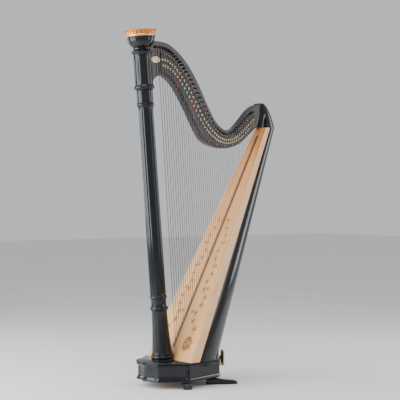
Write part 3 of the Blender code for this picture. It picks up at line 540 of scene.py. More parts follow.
def bead(station, radius, height, neck_radius, steps=12):
    """A half-round ring on the column: (radius, station) points from its top down."""
    halves = [math.pi * k / steps for k in range(steps + 1)]
    return [(neck_radius + (radius - neck_radius) * math.sin(t), station + height / 2 * math.cos(t))
            for t in halves]


# ---------------------------------------------------------------- soundbox

def board_x(z):
    return BOARD_FOOT_X + BOARD_RUN * (z - BOARD_FOOT_Z) / BOARD_RISE


def along_board(z, foot, head):
    return between(foot, head, (z - BOARD_FOOT_Z) / BOARD_RISE)


def half_width(z):
    return along_board(z, BOARD_FOOT_HALF, BOARD_HEAD_HALF)


def rim_depth(z):
    return along_board(z, RIM_FOOT_DEPTH, RIM_HEAD_DEPTH)


def back_point(z, turn, inset=0.0):
    """A point of the rounded back at a height; the turn runs from -90 to 90 degrees across it."""
    start = board_x(z) + rim_depth(z) + GAP
    depth = along_board(z, BOX_FOOT_DEPTH, BOX_HEAD_DEPTH) - rim_depth(z) - GAP - inset
    half = half_width(z) - BOX_SHADOW - inset
    return Vector((start + depth * math.cos(turn), half * math.sin(turn), z))


def board_point(along, across, lift):
    """A point near the soundboard's face: metres up from its foot, across it, and out from it."""
    long = math.hypot(BOARD_RUN, BOARD_RISE)
    up = Vector((BOARD_RUN / long, 0, BOARD_RISE / long))
    out = Vector((-up.z, 0, up.x))
    return Vector((BOARD_FOOT_X, across, BOARD_FOOT_Z)) + up * along + out * lift


def cut(made, tool):
    """Cuts a piece with a hidden shape and removes the shape."""
    mesh = bpy.data.meshes.new("tool")
    bmesh.ops.recalc_face_normals(tool, faces=tool.faces)
    tool.to_mesh(mesh)
    tool.free()
    cutter = bpy.data.objects.new("tool", mesh)
    bpy.context.scene.collection.objects.link(cutter)
    cutter.matrix_world = made.matrix_world
    modifier = made.modifiers.new("cut", "BOOLEAN")
    modifier.operation = "DIFFERENCE"
    modifier.object = cutter
    modifier.solver = "EXACT"
    bpy.context.view_layer.update()
    graph = bpy.context.evaluated_depsgraph_get()
    done = bpy.data.meshes.new_from_object(made.evaluated_get(graph))
    made.modifiers.remove(modifier)
    made.data = done
    bpy.data.objects.remove(cutter)
    done.set_sharp_from_angle(angle=math.radians(40))


def build_soundbox():
    rings = []
    for k in range(BOX_LEVELS + 1):
        z = between(BOARD_FOOT_Z + GAP, BOARD_TOP_Z, k / BOX_LEVELS)
        across = [math.pi * (i / BOX_STEPS - 0.5) for i in range(BOX_STEPS + 1)]
        rings.append([back_point(z, t) for t in across] + [back_point(z, t, BOX_WALL) for t in across[::-1]])
    shell = skinned("soundbox_back", rings, "lacquer", ["soundbox_shell"])

    holes = bmesh.new()
    edges = bmesh.new()
    for share, tall, wide in SOUND_HOLES:
        middle = BOARD_FOOT_Z + BOARD_RISE * share
        ring = [(wide * math.cos(t), middle + tall * math.sin(t)) for t in turns(HOLE_STEPS)]
        back = board_x(middle) + along_board(middle, BOX_FOOT_DEPTH, BOX_HEAD_DEPTH)
        add_grid(holes, [[Vector((back + reach, y, z)) for y, z in ring] for reach in (-2 * tall, 2 * tall)])
        lip = []
        for y, z in ring:
            turn = math.asin(max(-1, min(1, y / (half_width(z) - BOX_SHADOW))))
            surface = back_point(z, turn)
            away = Vector((0, y, z - middle)).normalized()
            lip.append([surface + away * 0.0026 * math.cos(a) + Vector((0.0022 * math.sin(a), 0, 0))
                        for a in turns(10)])
        add_grid(edges, lip, joined=True)
    cut(shell, holes)
    finished("sound_hole_edges", edges, "lacquer")

    beads = bmesh.new()
    purfling = bmesh.new()
    board_long = math.hypot(BOARD_RUN, BOARD_RISE)
    for sign in (-1, 1):
        line = []
        rows = []
        for k in range(EDGE_LEVELS + 1):
            z = between(BOARD_FOOT_Z + 0.002, BOARD_TOP_Z - 0.001, k / EDGE_LEVELS)
            line.append((board_x(z) + rim_depth(z) + GAP, sign * (half_width(z) - 0.0004), z))
            along = between(0.004, board_long - 0.004, k / EDGE_LEVELS)
            edge = half_width(board_point(along, 0, 0).z) - 0.0125
            inner = edge - 0.0018
            rows.append([board_point(along, sign * across, lift) for across, lift in
                         ((edge, -0.0004), (edge, 0.00025), (inner, 0.00025), (inner, -0.0004))])
        add_tube(beads, line, 0.0016)
        add_grid(purfling, rows)
    finished("rim_beads", beads, "maple")
    finished("board_purfling", purfling, "dark_wood_and_rib_shade")


# ---------------------------------------------------------------- where the strings run

def string_share(k):
    """How far string k's top is along the row, from 0 at the bass to 1 at the treble."""
    last = STRINGS - 1
    return (k - NARROWING * k * k) / (last - NARROWING * last * last)


def bridge_x(k):
    return between(FIRST_STRING_X, LAST_STRING_X, string_share(k))


def string_gap(k):
    """The distance between neighbouring strings at string k."""
    last = STRINGS - 1
    return (LAST_STRING_X - FIRST_STRING_X) * (1 - 2 * NARROWING * k) / (last - NARROWING * last * last)


def string_foot(k):
    z = between(FIRST_FOOT_Z, LAST_FOOT_Z, string_share(k))
    return Vector((board_x(z) - GAP - RIB_THICK - STRIP_OFFSET, 0, z))


def string_radius(k):
    return between(BASS_RADIUS, TREBLE_RADIUS, string_share(k))


def neck_z(x, share):
    """Height on the neck at x: share 0 is its top edge and 1 is its bottom edge."""
    return between(smooth_value(NECK_TOP, x), smooth_value(NECK_LOW, x), share)


def string_point(k, row):
    """The point where string k passes a row of the action."""
    z = neck_z(bridge_x(k), between(*row, string_share(k)))
    foot = string_foot(k)
    top = Vector((bridge_x(k), STRING_TOP_Y, neck_z(bridge_x(k), between(*BRIDGE_ROW, string_share(k)))))
    return foot + (top - foot) * (z - foot.z) / (top.z - foot.z)


# ---------------------------------------------------------------- painted decoration

class Scrollwork:
    """Flat painted strokes on one half of the soundboard, drawn in metres along and across it."""

    def __init__(self, side):
        self.side = side
        self.stems = bmesh.new()
        self.leaves = bmesh.new()

    def stroke(self, shape, points, width):
        rows = []
        count = len(points)
        for i, (along, across) in enumerate(points):
            ahead = Vector(points[min(i + 1, count - 1)])
            behind = Vector(points[max(i - 1, 0)])
            way = (ahead - behind).normalized()
            half = width(i / (count - 1)) / 2
            left = (along - way.y * half, across + way.x * half)
            right = (along + way.y * half, across - way.x * half)
            rows.append([board_point(a, self.side * c, lift) for a, c, lift in
                         ((*left, 0.00002), (*left, 0.00022), (*right, 0.00022), (*right, 0.00002))])
        add_grid(shape, rows)

    def leaf(self, along, across, heading, long, wide, bend=0.5, shape=None):
        """A pointed leaf that curls to one side."""
        points = []
        at = Vector((along, across))
        for i in range(9):
            points.append(tuple(at))
            turn = heading + bend * i / 8
            at += ray(turn, long / 8)
        self.stroke(shape or self.leaves, points,
                    lambda s: max(0.0003, wide * math.sin(math.pi * min(1, s * 0.92 + 0.06))))

    def spiral(self, along, across, heading, size, turn_way, width=0.0016):
        """A tendril that winds in on itself."""
        points = []
        at = Vector((along, across))
        turn = heading
        for i in range(34):
            points.append(tuple(at))
            turn += turn_way * (0.09 + 0.010 * i)
            at += ray(turn, size / 11)
        self.stroke(self.stems, points, lambda s: between(width, width * 0.4, s))

    def flower(self, along, across, size, petals=6):
        middle = Vector((along, across))
        for turn in turns(petals):
            at = middle + ray(turn + 0.3, 0.25 * size)
            self.leaf(at.x, at.y, turn + 0.05, size, 0.36 * size, 0.5, self.stems)
        for turn in turns(8):
            at = middle + ray(turn, 0.03 * size)
            self.leaf(at.x, at.y, turn, 0.28 * size, 0.16 * size, 0.0)

    def vine(self, start, end, middle, sway, waves):
        """The main stem, with a pair of leaves and a tendril at each bend."""

        def at(s):
            along = between(start, end, s)
            reach = between(sway, sway * 0.45, s)
            return along, between(*middle, s) + reach * math.sin(FULL_TURN * waves * s)

        points = [at(i / VINE_STEPS) for i in range(VINE_STEPS + 1)]
        self.stroke(self.stems, points, lambda s: between(0.0034, 0.0012, s))
        count = int(waves * 4)
        for k in range(1, count):
            s = (k + 0.3) / count
            along, across = at(s)
            ahead = Vector(at(s + 0.01)) - Vector((along, across))
            heading = math.atan2(ahead.y, ahead.x)
            way = 1 if k % 2 else -1
            size = between(0.030, 0.014, s)
            self.leaf(along, across, heading + 0.9 * way, size, 0.40 * size, -0.9 * way)
            self.leaf(along, across, heading + 1.9 * way, 0.8 * size, 0.34 * size, -0.6 * way)
            self.leaf(along, across, heading - 0.8 * way, 0.7 * size, 0.30 * size, 0.8 * way)
            self.spiral(along, across, heading - 0.5 * way, 0.8 * size, -way)
            if k % 3 == 0:
                self.flower(along + 0.4 * size, across - 1.1 * way * size, 0.45 * size)

    def finish(self, name):
        finished(name + "_stems", self.stems, "decal_gold", crease=80)
        finished(name + "_leaves", self.leaves, "leaf_gold", crease=80)


def build_decoration():
    for name, side in (("left_scroll", -1), ("right_scroll", 1)):
        scroll = Scrollwork(side)
        cluster = Vector((0.100, 0.104))
        scroll.flower(*cluster, 0.013, 6)
        for k in range(CLUSTER_LEAVES):
            turn = LEAF_TURN * k
            reach = 0.0040 * math.sqrt(k + 1)
            at = cluster + Vector((1.15 * reach * math.cos(turn), 0.85 * reach * math.sin(turn)))
            scroll.leaf(at.x, at.y, turn + 0.6, 0.0135, 0.0058, 0.8 if k % 2 else -0.8,
                        scroll.leaves if k % 4 == 3 else scroll.stems)
        scroll.flower(cluster.x + 0.026, cluster.y - 0.012, 0.009, 5)
        scroll.flower(cluster.x - 0.016, cluster.y + 0.014, 0.008, 5)
        scroll.spiral(0.078, 0.096, 3.6, 0.026, 1)
        scroll.spiral(0.080, 0.118, 2.6, 0.024, -1)
        scroll.spiral(0.120, 0.128, 0.9, 0.026, 1, 0.0022)
        scroll.vine(0.118, 0.860, (0.100, 0.050), 0.022, 4.0)
        scroll.finish(name)


# ---------------------------------------------------------------- base, feet and pedal slots

def base_outline(inset):
    """The base's plan, anticlockwise, with rounded corners and bowed walls, moved inwards."""
    bows = [bow for x, y, radius, bow in BASE_CORNERS[:-1]]
    bows = bows + [0.0] + bows[::-1] + [BASE_FRONT_BOW]
    places = [Vector((x, -y)) for x, y, radius, bow in BASE_CORNERS]
    places += [Vector((x, y)) for x, y, radius, bow in BASE_CORNERS[::-1]]
    radii = [radius for x, y, radius, bow in BASE_CORNERS]
    radii += radii[::-1]
    count = len(places)

    def half_angle(i):
        back = (places[i - 1] - places[i]).normalized()
        ahead = (places[(i + 1) % count] - places[i]).normalized()
        return math.acos(max(-1, min(1, back.dot(ahead)))) / 2, (back + ahead).normalized()

    points = []
    for i in range(count):
        half_turn, away = half_angle(i)
        centre = places[i] + away * radii[i] / math.sin(half_turn)
        spread = math.pi / 2 - half_turn
        middle = math.atan2(-away.y, -away.x)
        arc = [middle + between(-spread, spread, k / CORNER_STEPS) for k in range(CORNER_STEPS + 1)]
        points += [centre + ray(t, radii[i] - inset) for t in arc]
        start = centre + ray(arc[-1], radii[i])
        after = (i + 1) % count
        along = (places[after] - start).normalized()
        end = places[after] - along * radii[after] / math.tan(half_angle(after)[0])
        out = Vector((along.y, -along.x))
        for k in range(1, WALL_STEPS):
            s = k / WALL_STEPS
            points.append(between(start, end, s) + out * (bows[i] * math.sin(math.pi * s) ** 2 - inset))
    return points


def base_loops(levels):
    return [[Vector((p.x, p.y, z)) for p in base_outline(inset)] for inset, z in levels]


def pedal_line(i):
    """Where pedal i's lever leaves the base, in plan, and its heading from its rod to there."""
    rear = Vector((BASE_CORNERS[3][0] - BASE_INSET, BASE_CORNERS[3][1] - BASE_INSET * 0.4))
    wall = (Vector(BASE_CORNERS[2][:2]) - Vector(BASE_CORNERS[3][:2])).normalized()
    middle = (len(PEDALS) - 1) / 2
    run = abs(i - middle) * SLOT_PITCH
    leaves = Vector((rear.x, run)) if run <= rear.y else rear + wall * (run - rear.y)
    if i < middle:
        leaves.y = -leaves.y
    return leaves, math.atan2(leaves.y - (i - middle) * ROD_PITCH, leaves.x - LEVER_START_X)


def build_base():
    top = BASE_TOP
    levels = [(inset, FOOT_TALL + z) for inset, z in BASE_FOOT_MOULDING]
    levels += [(inset, top - z) for inset, z in BASE_TOP_MOULDING]
    body = skinned("base_plinth", base_loops(levels), "lacquer", ["base_body"], joined=True)
    slots = bmesh.new()
    felt = bmesh.new()
    for i in range(len(PEDALS)):
        leaves, heading = pedal_line(i)
        turn = Matrix.Translation((*leaves, 0)) @ Matrix.Rotation(heading, 4, "Z")
        add_box(slots, (-0.030, -0.0055, 0.050), (0.030, 0.0055, 0.1085), turn)
        rows = []
        for half, low, high in ((0.0062, 0.0493, 0.1092), (0.0042, 0.0513, 0.1072)):
            section = ((-half, low), (half, low), (half, high), (-half, high))
            rows.append([[turn @ Vector((reach, y, z)) for y, z in section] for reach in (-0.009, 0.0015)])
        outer, inner = rows
        add_grid(felt, [outer[0], inner[0], inner[1], outer[1]], joined=True)
    cut(body, slots)
    finished("pedal_slot_felts", felt, "felt")

    lid = [(0.013, top + GAP), (0.0, top + GAP), (-0.003, top + 0.0020), (-0.004, top + 0.0045),
           (-0.0035, top + 0.0070), (-0.0015, top + 0.0090), (0.0010, BOARD_FOOT_Z - GAP)]
    skinned("base_lid", base_loops(lid), "lacquer", ["base_top_board"], crease=50)

    x, y = BASE_CORNERS[1][:2]
    inner = (Vector((x + 0.03, 0)) - Vector((x, y))).normalized() * 0.0135
    low = FOOT_TALL + 0.013
    high = top - 0.013
    upper = [(0, high)] + bead(high - 0.004, 0.0125, 0.008, 0.0105)
    upper += bead(high - 0.010, 0.0118, 0.003, 0.0100)
    lower = bead(low + 0.010, 0.0118, 0.003, 0.0100)
    lower += bead(low + 0.004, 0.0125, 0.008, 0.0105) + [(0, low)]
    # The reeded stretch follows the lower bead's first point, so a plain skin down to that point covers it
    reeded = [(0.0100, between(high - 0.013, low + 0.013, k / REED_LEVELS)) for k in range(REED_LEVELS + 1)]
    profile = upper + lower[:1] + reeded + lower[1:]

    def reeds(turn, height):
        inside = low + 0.013 < height < high - 0.013
        return -0.0012 * abs(math.sin(6 * turn)) if inside else 0

    for side, sign in SIDES:
        shape = bmesh.new()
        spot = Matrix.Translation((x + inner.x, sign * (y + inner.y), 0))
        add_lathe(shape, profile, PILASTER_STEPS, spot, reeds)
        finished("corner_pilaster_" + side, shape, "lacquer")


def add_lump(shape, centre, size, turn=0.0):
    place = Matrix.Translation(centre) @ Matrix.Rotation(turn, 4, "Z") @ Matrix.Diagonal((*size, 1))
    bmesh.ops.create_uvsphere(shape, u_segments=20, v_segments=12, radius=1.0, matrix=place)


def build_front_foot(side, sign):
    """A small claw foot: lumps of clay, melted into one skin."""
    low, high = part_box("front_foot_" + side)
    spot = Vector(((low.x + high.x) / 2 - HARP_X, (low.y + high.y) / 2))
    heading = math.atan2(sign, -0.55)
    shape = bmesh.new()

    def lump(turn, reach, z, size):
        add_lump(shape, (*(spot + ray(turn, reach)), z), size, turn)

    add_lump(shape, (*spot, 0.024), (0.027, 0.027, 0.016))
    for k in range(CLAWS):
        turn = heading + (k - (CLAWS - 1) / 2) * CLAW_SPREAD
        lump(turn, 0.019, 0.017, (0.014, 0.0068, 0.0135))
        lump(turn, 0.0275, 0.0085, (0.0090, 0.0062, 0.0082))
        lump(turn, 0.0345, 0.0042, (0.0062, 0.0030, 0.0040))
    lump(heading, -0.014, 0.012, (0.014, 0.016, 0.0118))
    foot = finished("claw_foot_" + side, shape, "lacquer", ["front_foot_" + side], crease=180)
    melt = foot.modifiers.new("melt", "REMESH")
    melt.mode = "VOXEL"
    melt.voxel_size = CLAW_VOXEL
    melt.use_smooth_shade = True
    even_out = foot.modifiers.new("even_out", "SMOOTH")
    even_out.factor = 0.6
    even_out.iterations = 4


def squared(share):
    """Turns a circle's sine or cosine into a rounded square's."""
    return math.copysign(abs(share) ** 0.55, share)


def build_rear_foot(side, sign):
    """A low carved foot: square where it leaves the base, hollowed in the middle, with a rounded toe."""
    root = Vector((REAR_ROOT[0], sign * REAR_ROOT[1]))
    way = Vector((REAR_TIP[0], sign * REAR_TIP[1])) - root
    long = way.length + REAR_HALF
    way.normalize()
    across = Vector((-way.y, way.x))
    rings = []
    for k in range(REAR_STEPS + 1):
        share = math.sin(math.pi / 2 * k / REAR_STEPS)
        half = REAR_HALF * smooth_value(REAR_WIDTHS, share)
        tall = REAR_TALL * smooth_value(REAR_HEIGHTS, share)
        spot = root + way * (long * share)
        rings.append([(*(spot + across * half * squared(math.cos(t))),
                       (0.5 + 0.5 * squared(math.sin(t))) * tall) for t in turns(REAR_SIDES)])
    skinned("carved_foot_" + side, rings, "lacquer", ["rear_foot_" + side], crease=60)


def build_feet():
    for side, sign in SIDES:
        build_rear_foot(side, sign)
        build_front_foot(side, sign)


# ---------------------------------------------------------------- column and crown

def fluting(depth, low, high, fade):
    """Flutes of this depth between two heights, which fade in and out over a short run."""
    def swell(turn, height):
        inside = min(1.0, max(0.0, (high - height) / fade)) * min(1.0, max(0.0, (height - low) / fade))
        return -depth * inside * max(0.0, math.cos(FLUTES * turn))
    return swell


def build_column():
    low = -0.0095
    flare_top = 0.262
    flare_foot = 0.0385
    profile = [(0, SHAFT_START - GAP), (SHAFT_FOOT_RADIUS, SHAFT_START - GAP)]
    profile += bead(0.337, 0.0465, 0.014, 0.0425) + [(0.0415, 0.3280)] + bead(0.3255, 0.0435, 0.004, 0.0415)
    profile += smooth_profile([(0.0408, 0.322), (0.0405, 0.300), (0.0415, 0.289)])
    profile += bead(0.277, 0.050, 0.018, 0.0420) + bead(0.2655, 0.0445, 0.004, 0.0420)
    for station in (flare_top, 0.230, 0.200, 0.170, 0.140, 0.115, 0.090, 0.070, 0.055, 0.044, flare_foot):
        share = (flare_top - station) / (flare_top - flare_foot)
        profile.append((0.0412 + 0.0128 * share ** 1.7, station))
    profile += bead(0.0345, 0.0575, 0.007, 0.0545)
    profile += bead(0.0190, 0.0612, 0.019, 0.0565, 16)
    profile += [(0.0590, 0.008), (0.0600, 0.003), (0.0600, low), (0, low)]
    turned("column_foot", profile, 192, "lacquer", ["column_base"], fluting(0.0010, 0.060, 0.250, 0.015))

    rows = [0.0, 0.006, 0.012, 0.018, 0.024] + [between(0.05, 0.95, k / 12) for k in range(13)]
    rows += [0.976, 0.982, 0.988, 0.994, 1.0]

    def shaft_flutes(turn, height):
        share = (height - SHAFT_START) / (SHAFT_END - SHAFT_START)
        rise = min(1.0, max(0.0, (min(share, 1 - share) - 0.004) / 0.018))
        return -0.0015 * math.sqrt(rise * (2 - rise)) * max(0.0, math.cos(FLUTES * turn))

    profile = [(between(SHAFT_HEAD_RADIUS, SHAFT_FOOT_RADIUS, s), between(SHAFT_END, SHAFT_START, s))
               for s in rows]
    profile = [(0, SHAFT_END)] + profile + [(0, SHAFT_START)]
    turned("fluted_shaft", profile, SHAFT_STEPS, "lacquer", ["column_shaft"], shaft_flutes)

    profile = [(0, CAPITAL_END), (0.0445, CAPITAL_END), (0.0445, 1.6475)]
    profile += bead(1.6455, 0.0475, 0.004, 0.0445) + smooth_profile([(0.0450, 1.6425), (0.0540, 1.6370)], 4)
    profile += bead(1.633, 0.0572, 0.008, 0.0540) + smooth_profile([(0.0535, 1.6285), (0.0490, 1.6180)], 5)
    profile += [(CAPITAL_RADIUS, between(1.612, 1.462, k / 10)) for k in range(11)]
    profile += smooth_profile([(0.0490, 1.4600), (0.0530, 1.4535)], 4) + bead(1.4475, 0.0558, 0.011, 0.0530)
    profile += smooth_profile([(0.0525, 1.4415), (0.0455, 1.4345)], 5) + bead(1.4315, 0.0465, 0.004, 0.0440)
    profile += smooth_profile([(0.0435, 1.4290), (0.0430, 1.400), (0.0440, 1.368)], 5)
    profile += bead(1.3645, 0.0462, 0.004, 0.0435) + bead(1.356, 0.0478, 0.010, 0.0440)
    profile += smooth_profile([(0.0440, 1.3505), (0.0402, SHAFT_END + GAP)], 4) + [(0, SHAFT_END + GAP)]
    turned("capital", profile, SHAFT_STEPS, "lacquer", ["column_capital"],
           fluting(0.0008, 1.468, 1.608, 0.012))


def petal_section(turn, low):
    """The crown's section at a turn: up its outside, over the tip and down its inside."""
    lobe = abs(math.cos(CROWN_TIPS * turn / 2))
    crease = (1 - lobe) ** 2
    vein = max(0.0, 1 - abs(math.sin(CROWN_TIPS * turn / 2)) * 5)
    inwards = 0.0036 * crease - 0.0004 * vein
    reach = 0.0054 * math.sqrt(lobe) - 0.0014
    # Each point: radius, height, share of the petal's reach that lifts it, share of the crease that it takes
    points = ((0.0745, 0.010, 0, 0.0), (0.0762, 0.014, 0, 0.5), (0.0770, 0.019, 0, 1.0),
              (0.0785, 0.0235, 0, 1.2), (0.0808, 0.0275, 0, 1.0), (0.0832, 0.0300, 0.8, 0.5),
              (0.0842, 0.0312, 1, 0.1), (0.0832, 0.0322, 1, 0.0), (0.0805, 0.0305, 0.7, 0.3),
              (0.0770, 0.0250, 0, 0.5), (0.0735, 0.0180, 0, 0.3), (0.0700, 0.0100, 0, 0.0))
    return [(*ray(turn, radius - inwards * deep), low + height + reach * lift)
            for radius, height, lift, deep in points]


def build_crown():
    profile = [(0, BELL_END), (0.0715, BELL_END), (0.0728, 1.7105)] + bead(1.7060, 0.0742, 0.007, 0.0728)
    profile += [(0.0724, 1.7020), (0.0722, 1.6975), (0.0712, 1.6920), (0.0694, 1.6862), (0.0668, 1.6806),
                (0.0634, 1.6752), (0.0594, 1.6700), (0.0550, 1.6652), (0.0510, 1.6612), (0.0482, 1.6582)]
    profile += bead(1.6553, 0.0488, 0.0045, 0.0460) + [(0, CAPITAL_END + GAP)]
    turned("bell", profile, 96, "lacquer", ["crown_bell"])

    low = BELL_END + GAP
    profile = [(0.060, low), (0.0750, low)] + bead(low + 0.0062, 0.0800, 0.0115, 0.0752, 16)[::-1]
    turned("crown_band", profile + [(0.060, low + 0.012)], 128, "bright_gold")

    rings = [petal_section(turn, low) for turn in turns(16 * CROWN_TIPS)]
    skinned("crown_petals", rings, "gold", ["crown_rim"], joined=True, place=COLUMN, crease=50)

    dome = [(0.066 * math.cos(t), low + 0.008 + 0.012 * math.sin(t)) for t in turns(10, math.pi / 2)]
    knob = [(0.010, low + 0.0205), (0.010, low + 0.0225), (0.0075, low + 0.0245), (0, low + 0.0255)]
    dome = [(0.0725, low + 0.006)] + dome + knob + [(0, low + 0.006)]
    turned("crown_dome", dome, 72, "gold",
           swell=lambda turn, z: 0.0008 * math.cos(24 * turn) if low + 0.009 < z < low + 0.0195 else 0)


# ---------------------------------------------------------------- neck and shoulder

def neck_band(start, end, high, low, steps):
    """The outline of a band of the neck, between two shares of its height."""
    xs = [between(start, end, i / steps) for i in range(steps + 1)]
    return [(x, neck_z(x, high)) for x in xs] + [(x, neck_z(x, low)) for x in xs[::-1]]


def plank(name, outline, near_y, far_y, look, stands_for, rounding, segments):
    rows = [[(x, y, z) for x, z in outline] for y in (near_y, far_y)]
    round_edges(skinned(name, rows, look, stands_for, crease=30), rounding, segments, 50)


def shoulder_section(z, rise):
    """The shoulder's outline at a height: flush with the neck, then out and round the soundbox's back."""
    taper = math.cos(rise)
    flare = 1 - math.sin(rise)
    straight = RIM_HEAD_DEPTH * (0.4 + 0.6 * taper)
    depth = between(SHOULDER_RIDGE, BOX_HEAD_DEPTH, taper) - straight
    half = between(NECK_THICK / 2, BOARD_HEAD_HALF, flare)
    middle = (NECK_FACE_Y + NECK_THICK / 2) * (1 - flare)
    hollow = 0.030 * taper + 0.004
    near = []
    far = []
    for i in range(9):
        s = i / 8
        ease = max(0.0, 2 * s - 1) ** 2
        x = between(NECK_END_X - hollow, NECK_END_X + 0.7 * straight, s)
        near.append((x, between(NECK_FACE_Y + 0.0012, middle - half, ease), z))
        far.append((x, between(NECK_FACE_Y + NECK_THICK - 0.0012, middle + half, ease), z))
    back = [(NECK_END_X + straight + depth * math.cos(t), middle + half * math.sin(t), z)
            for t in [math.pi * (i / 28 - 0.5) for i in range(29)]]
    return near + back + far[::-1]


def build_neck():
    plank("neck_wood", neck_band(NECK_TOP[0][0], NECK_END_X - GAP, 0, 1, 110), NECK_FACE_Y,
          NECK_FACE_Y + NECK_THICK, "lacquer", ["neck"], 0.004, 4)

    rings = []
    for k in range(SHOULDER_LEVELS + 1):
        rise = math.pi / 2 * min(k / SHOULDER_LEVELS, 0.995)
        rings.append(shoulder_section(BOARD_TOP_Z + GAP + (SHOULDER_TALL - GAP) * math.sin(rise), rise))
    skinned("flared_shoulder", rings, "lacquer", ["shoulder"], crease=60)

    wide, tall = MEDALLION_HALF
    x, z = MEDALLION
    place = facing_near(x, NECK_FACE_Y - GAP, z) @ Matrix.Diagonal((1, tall / wide, 1, 1))
    inner = wide - 0.0015
    dome = [(inner * math.cos(t), 0.0012 + 0.0016 * math.sin(t)) for t in turns(8, math.pi / 2)]
    shape = bmesh.new()
    add_lathe(shape, [(inner, 0.0)] + dome + [(0, 0.0028)], 72, place)
    finished("ivory_plaque", shape, "ivory", ["medallion"])
    ring = [(wide - 0.0013 + 0.0013 * math.cos(t), 0.0012 + 0.0013 * math.sin(t))
            for t in turns(12) + [FULL_TURN]]
    rim = bmesh.new()
    add_lathe(rim, ring, 72, place)
    bmesh.ops.remove_doubles(rim, verts=rim.verts, dist=0.000001)
    finished("plaque_rim", rim, "bright_gold")


# ---------------------------------------------------------------- action

def add_screw(shape, place, radius, turn):
    """A domed slotted screw head on a face that looks along the place's own Z."""
    place = place @ Matrix.Rotation(turn, 4, "Z")
    tall = radius * 0.45
    rows = []
    for share, height in ((1.0, 0.0), (1.0, tall * 0.4), (0.8, tall * 0.8), (0.45, tall)):
        row = []
        for t in turns(16):
            deep = tall * 0.5 if height > 0 and abs(math.sin(t)) * share < 0.18 else 0
            row.append(place @ Vector((*ray(t, radius * share), height - deep)))
        rows.append(row)
    add_grid(shape, rows)


def first_played():
    """The first string that has a bridge pin and discs."""
    first = 0
    while bridge_x(first) < PLATE_START_X + 2 * BRIDGE_PIN_RADIUS:
        first += 1
    return first


def build_discs(name, row, node, spindles):
    """A row of discs, each with two prongs, and their spindles' ends on the far plate."""
    shape = bmesh.new()
    thick = DISC_FAR_Y - DISC_NEAR_Y
    prong = [(0.0009, 0), (0.0009, 0.0082), (0.0006, 0.0088), (0, 0.0089)]
    for k in range(first_played(), STRINGS):
        spot = string_point(k, row)
        radius = DISC_SHARE * string_gap(k)
        profile = [(0, 0), (radius - 0.0003, 0), (radius, 0.0004), (radius, thick - 0.0005),
                   (radius - 0.0005, thick), (radius * 0.62, thick), (radius * 0.58, thick - 0.0004),
                   (radius * 0.34, thick - 0.0004), (radius * 0.30, thick + 0.0006), (0, thick + 0.0008)]
        add_lathe(shape, profile, 28, facing_near(spot.x, DISC_FAR_Y, spot.z))
        foot = string_foot(k)
        lean = math.atan2(spot.x - foot.x, spot.z - foot.z)
        for reach in (-0.66 * radius, 0.66 * radius):
            x = spot.x + reach * math.cos(lean)
            z = spot.z - reach * math.sin(lean)
            add_lathe(shape, prong, 10, facing_near(x, DISC_NEAR_Y, z))
        add_screw(spindles, facing_far(spot.x, PLATES_FAR_Y, spot.z), SPINDLE_RADIUS, 0.9 * k)
    finished(name, shape, "brass", [node])


def build_action():
    band = neck_band(PLATE_START_X, PLATE_END_X, PLATE_TOP, PLATE_LOW, 90)
    near = NECK_FACE_Y - GAP
    far = NECK_FACE_Y + NECK_THICK + GAP
    plank("near_action_plate", band, near - PLATE_THICK, near, "plate", ["action_plate_left"], 0.0007, 2)
    plank("far_action_plate", band, far, PLATES_FAR_Y, "plate", ["action_plate_right"], 0.0007, 2)

    screws = bmesh.new()
    for k in range(PLATE_SCREWS):
        x = between(PLATE_START_X + 0.010, PLATE_END_X - 0.010, k / (PLATE_SCREWS - 1))
        for share in (PLATE_TOP + 0.035, PLATE_LOW - 0.035):
            z = neck_z(x, share)
            add_screw(screws, facing_near(x, near - PLATE_THICK, z), PLATE_SCREW_RADIUS, 1.7 * k + share)
            add_screw(screws, facing_far(x, PLATES_FAR_Y, z), PLATE_SCREW_RADIUS, 2.3 * k + share)
    finished("plate_screws", screws, "brass")

    spindles = bmesh.new()
    build_discs("natural_disc_row", NATURAL_ROW, "natural_discs", spindles)
    build_discs("sharp_disc_row", SHARP_ROW, "sharp_discs", spindles)
    finished("spindle_ends", spindles, "brass")

    shape = bmesh.new()
    pin = BRIDGE_PIN_RADIUS
    head = NECK_FACE_Y - BRIDGE_PIN_NEAR_Y
    for k in range(first_played(), STRINGS):
        spot = string_point(k, BRIDGE_ROW)
        r = string_radius(k)
        groove = NECK_FACE_Y - spot.y
        hollow = [(pin - 0.7 * r * math.sin(t), groove - 2 * r * math.cos(t)) for t in turns(6, math.pi)[1:]]
        profile = [(pin, 0), (pin, groove - 2 * r)] + hollow + [(pin, groove + 2 * r), (pin, head - 0.0008),
                                                                (pin - 0.0008, head), (0, head)]
        add_lathe(shape, profile, 16, facing_near(spot.x + pin + r + GAP, NECK_FACE_Y, spot.z))
    finished("bridge_pins", shape, "brass")

    shape = bmesh.new()
    base = TUNING_PIN_FAR_Y
    near_end = base - TUNING_PIN_NEAR_Y
    r = TUNING_PIN_RADIUS
    profile = [(0, 0.010), (r, 0.010), (r, near_end - 0.0008), (r - 0.0010, near_end), (0, near_end)]
    for k in range(STRINGS):
        spot = string_point(k, TUNING_ROW)
        x = pin_x(spot)
        add_lathe(shape, profile, 20, facing_near(x, base, spot.z))
        square = Matrix.Translation((x, 0, spot.z)) @ Matrix.Rotation(0.4 * k, 4, "Y")
        half = r * 0.72
        corners = ((-1, -1), (1, -1), (1, 1), (-1, 1))
        add_grid(shape, [[square @ Vector((a * size, y, b * size)) for a, b in corners]
                         for size, y in ((half, base - 0.012), (half, base - 0.0006), (half * 0.8, base))])
    finished("tuning_pins", shape, "dark_pin")


# ---------------------------------------------------------------- strings

def pin_x(spot):
    """X of the tuning pin that the string at this spot is wound on."""
    return spot.x - TUNING_PIN_RADIUS * math.cos(math.pi / 6)


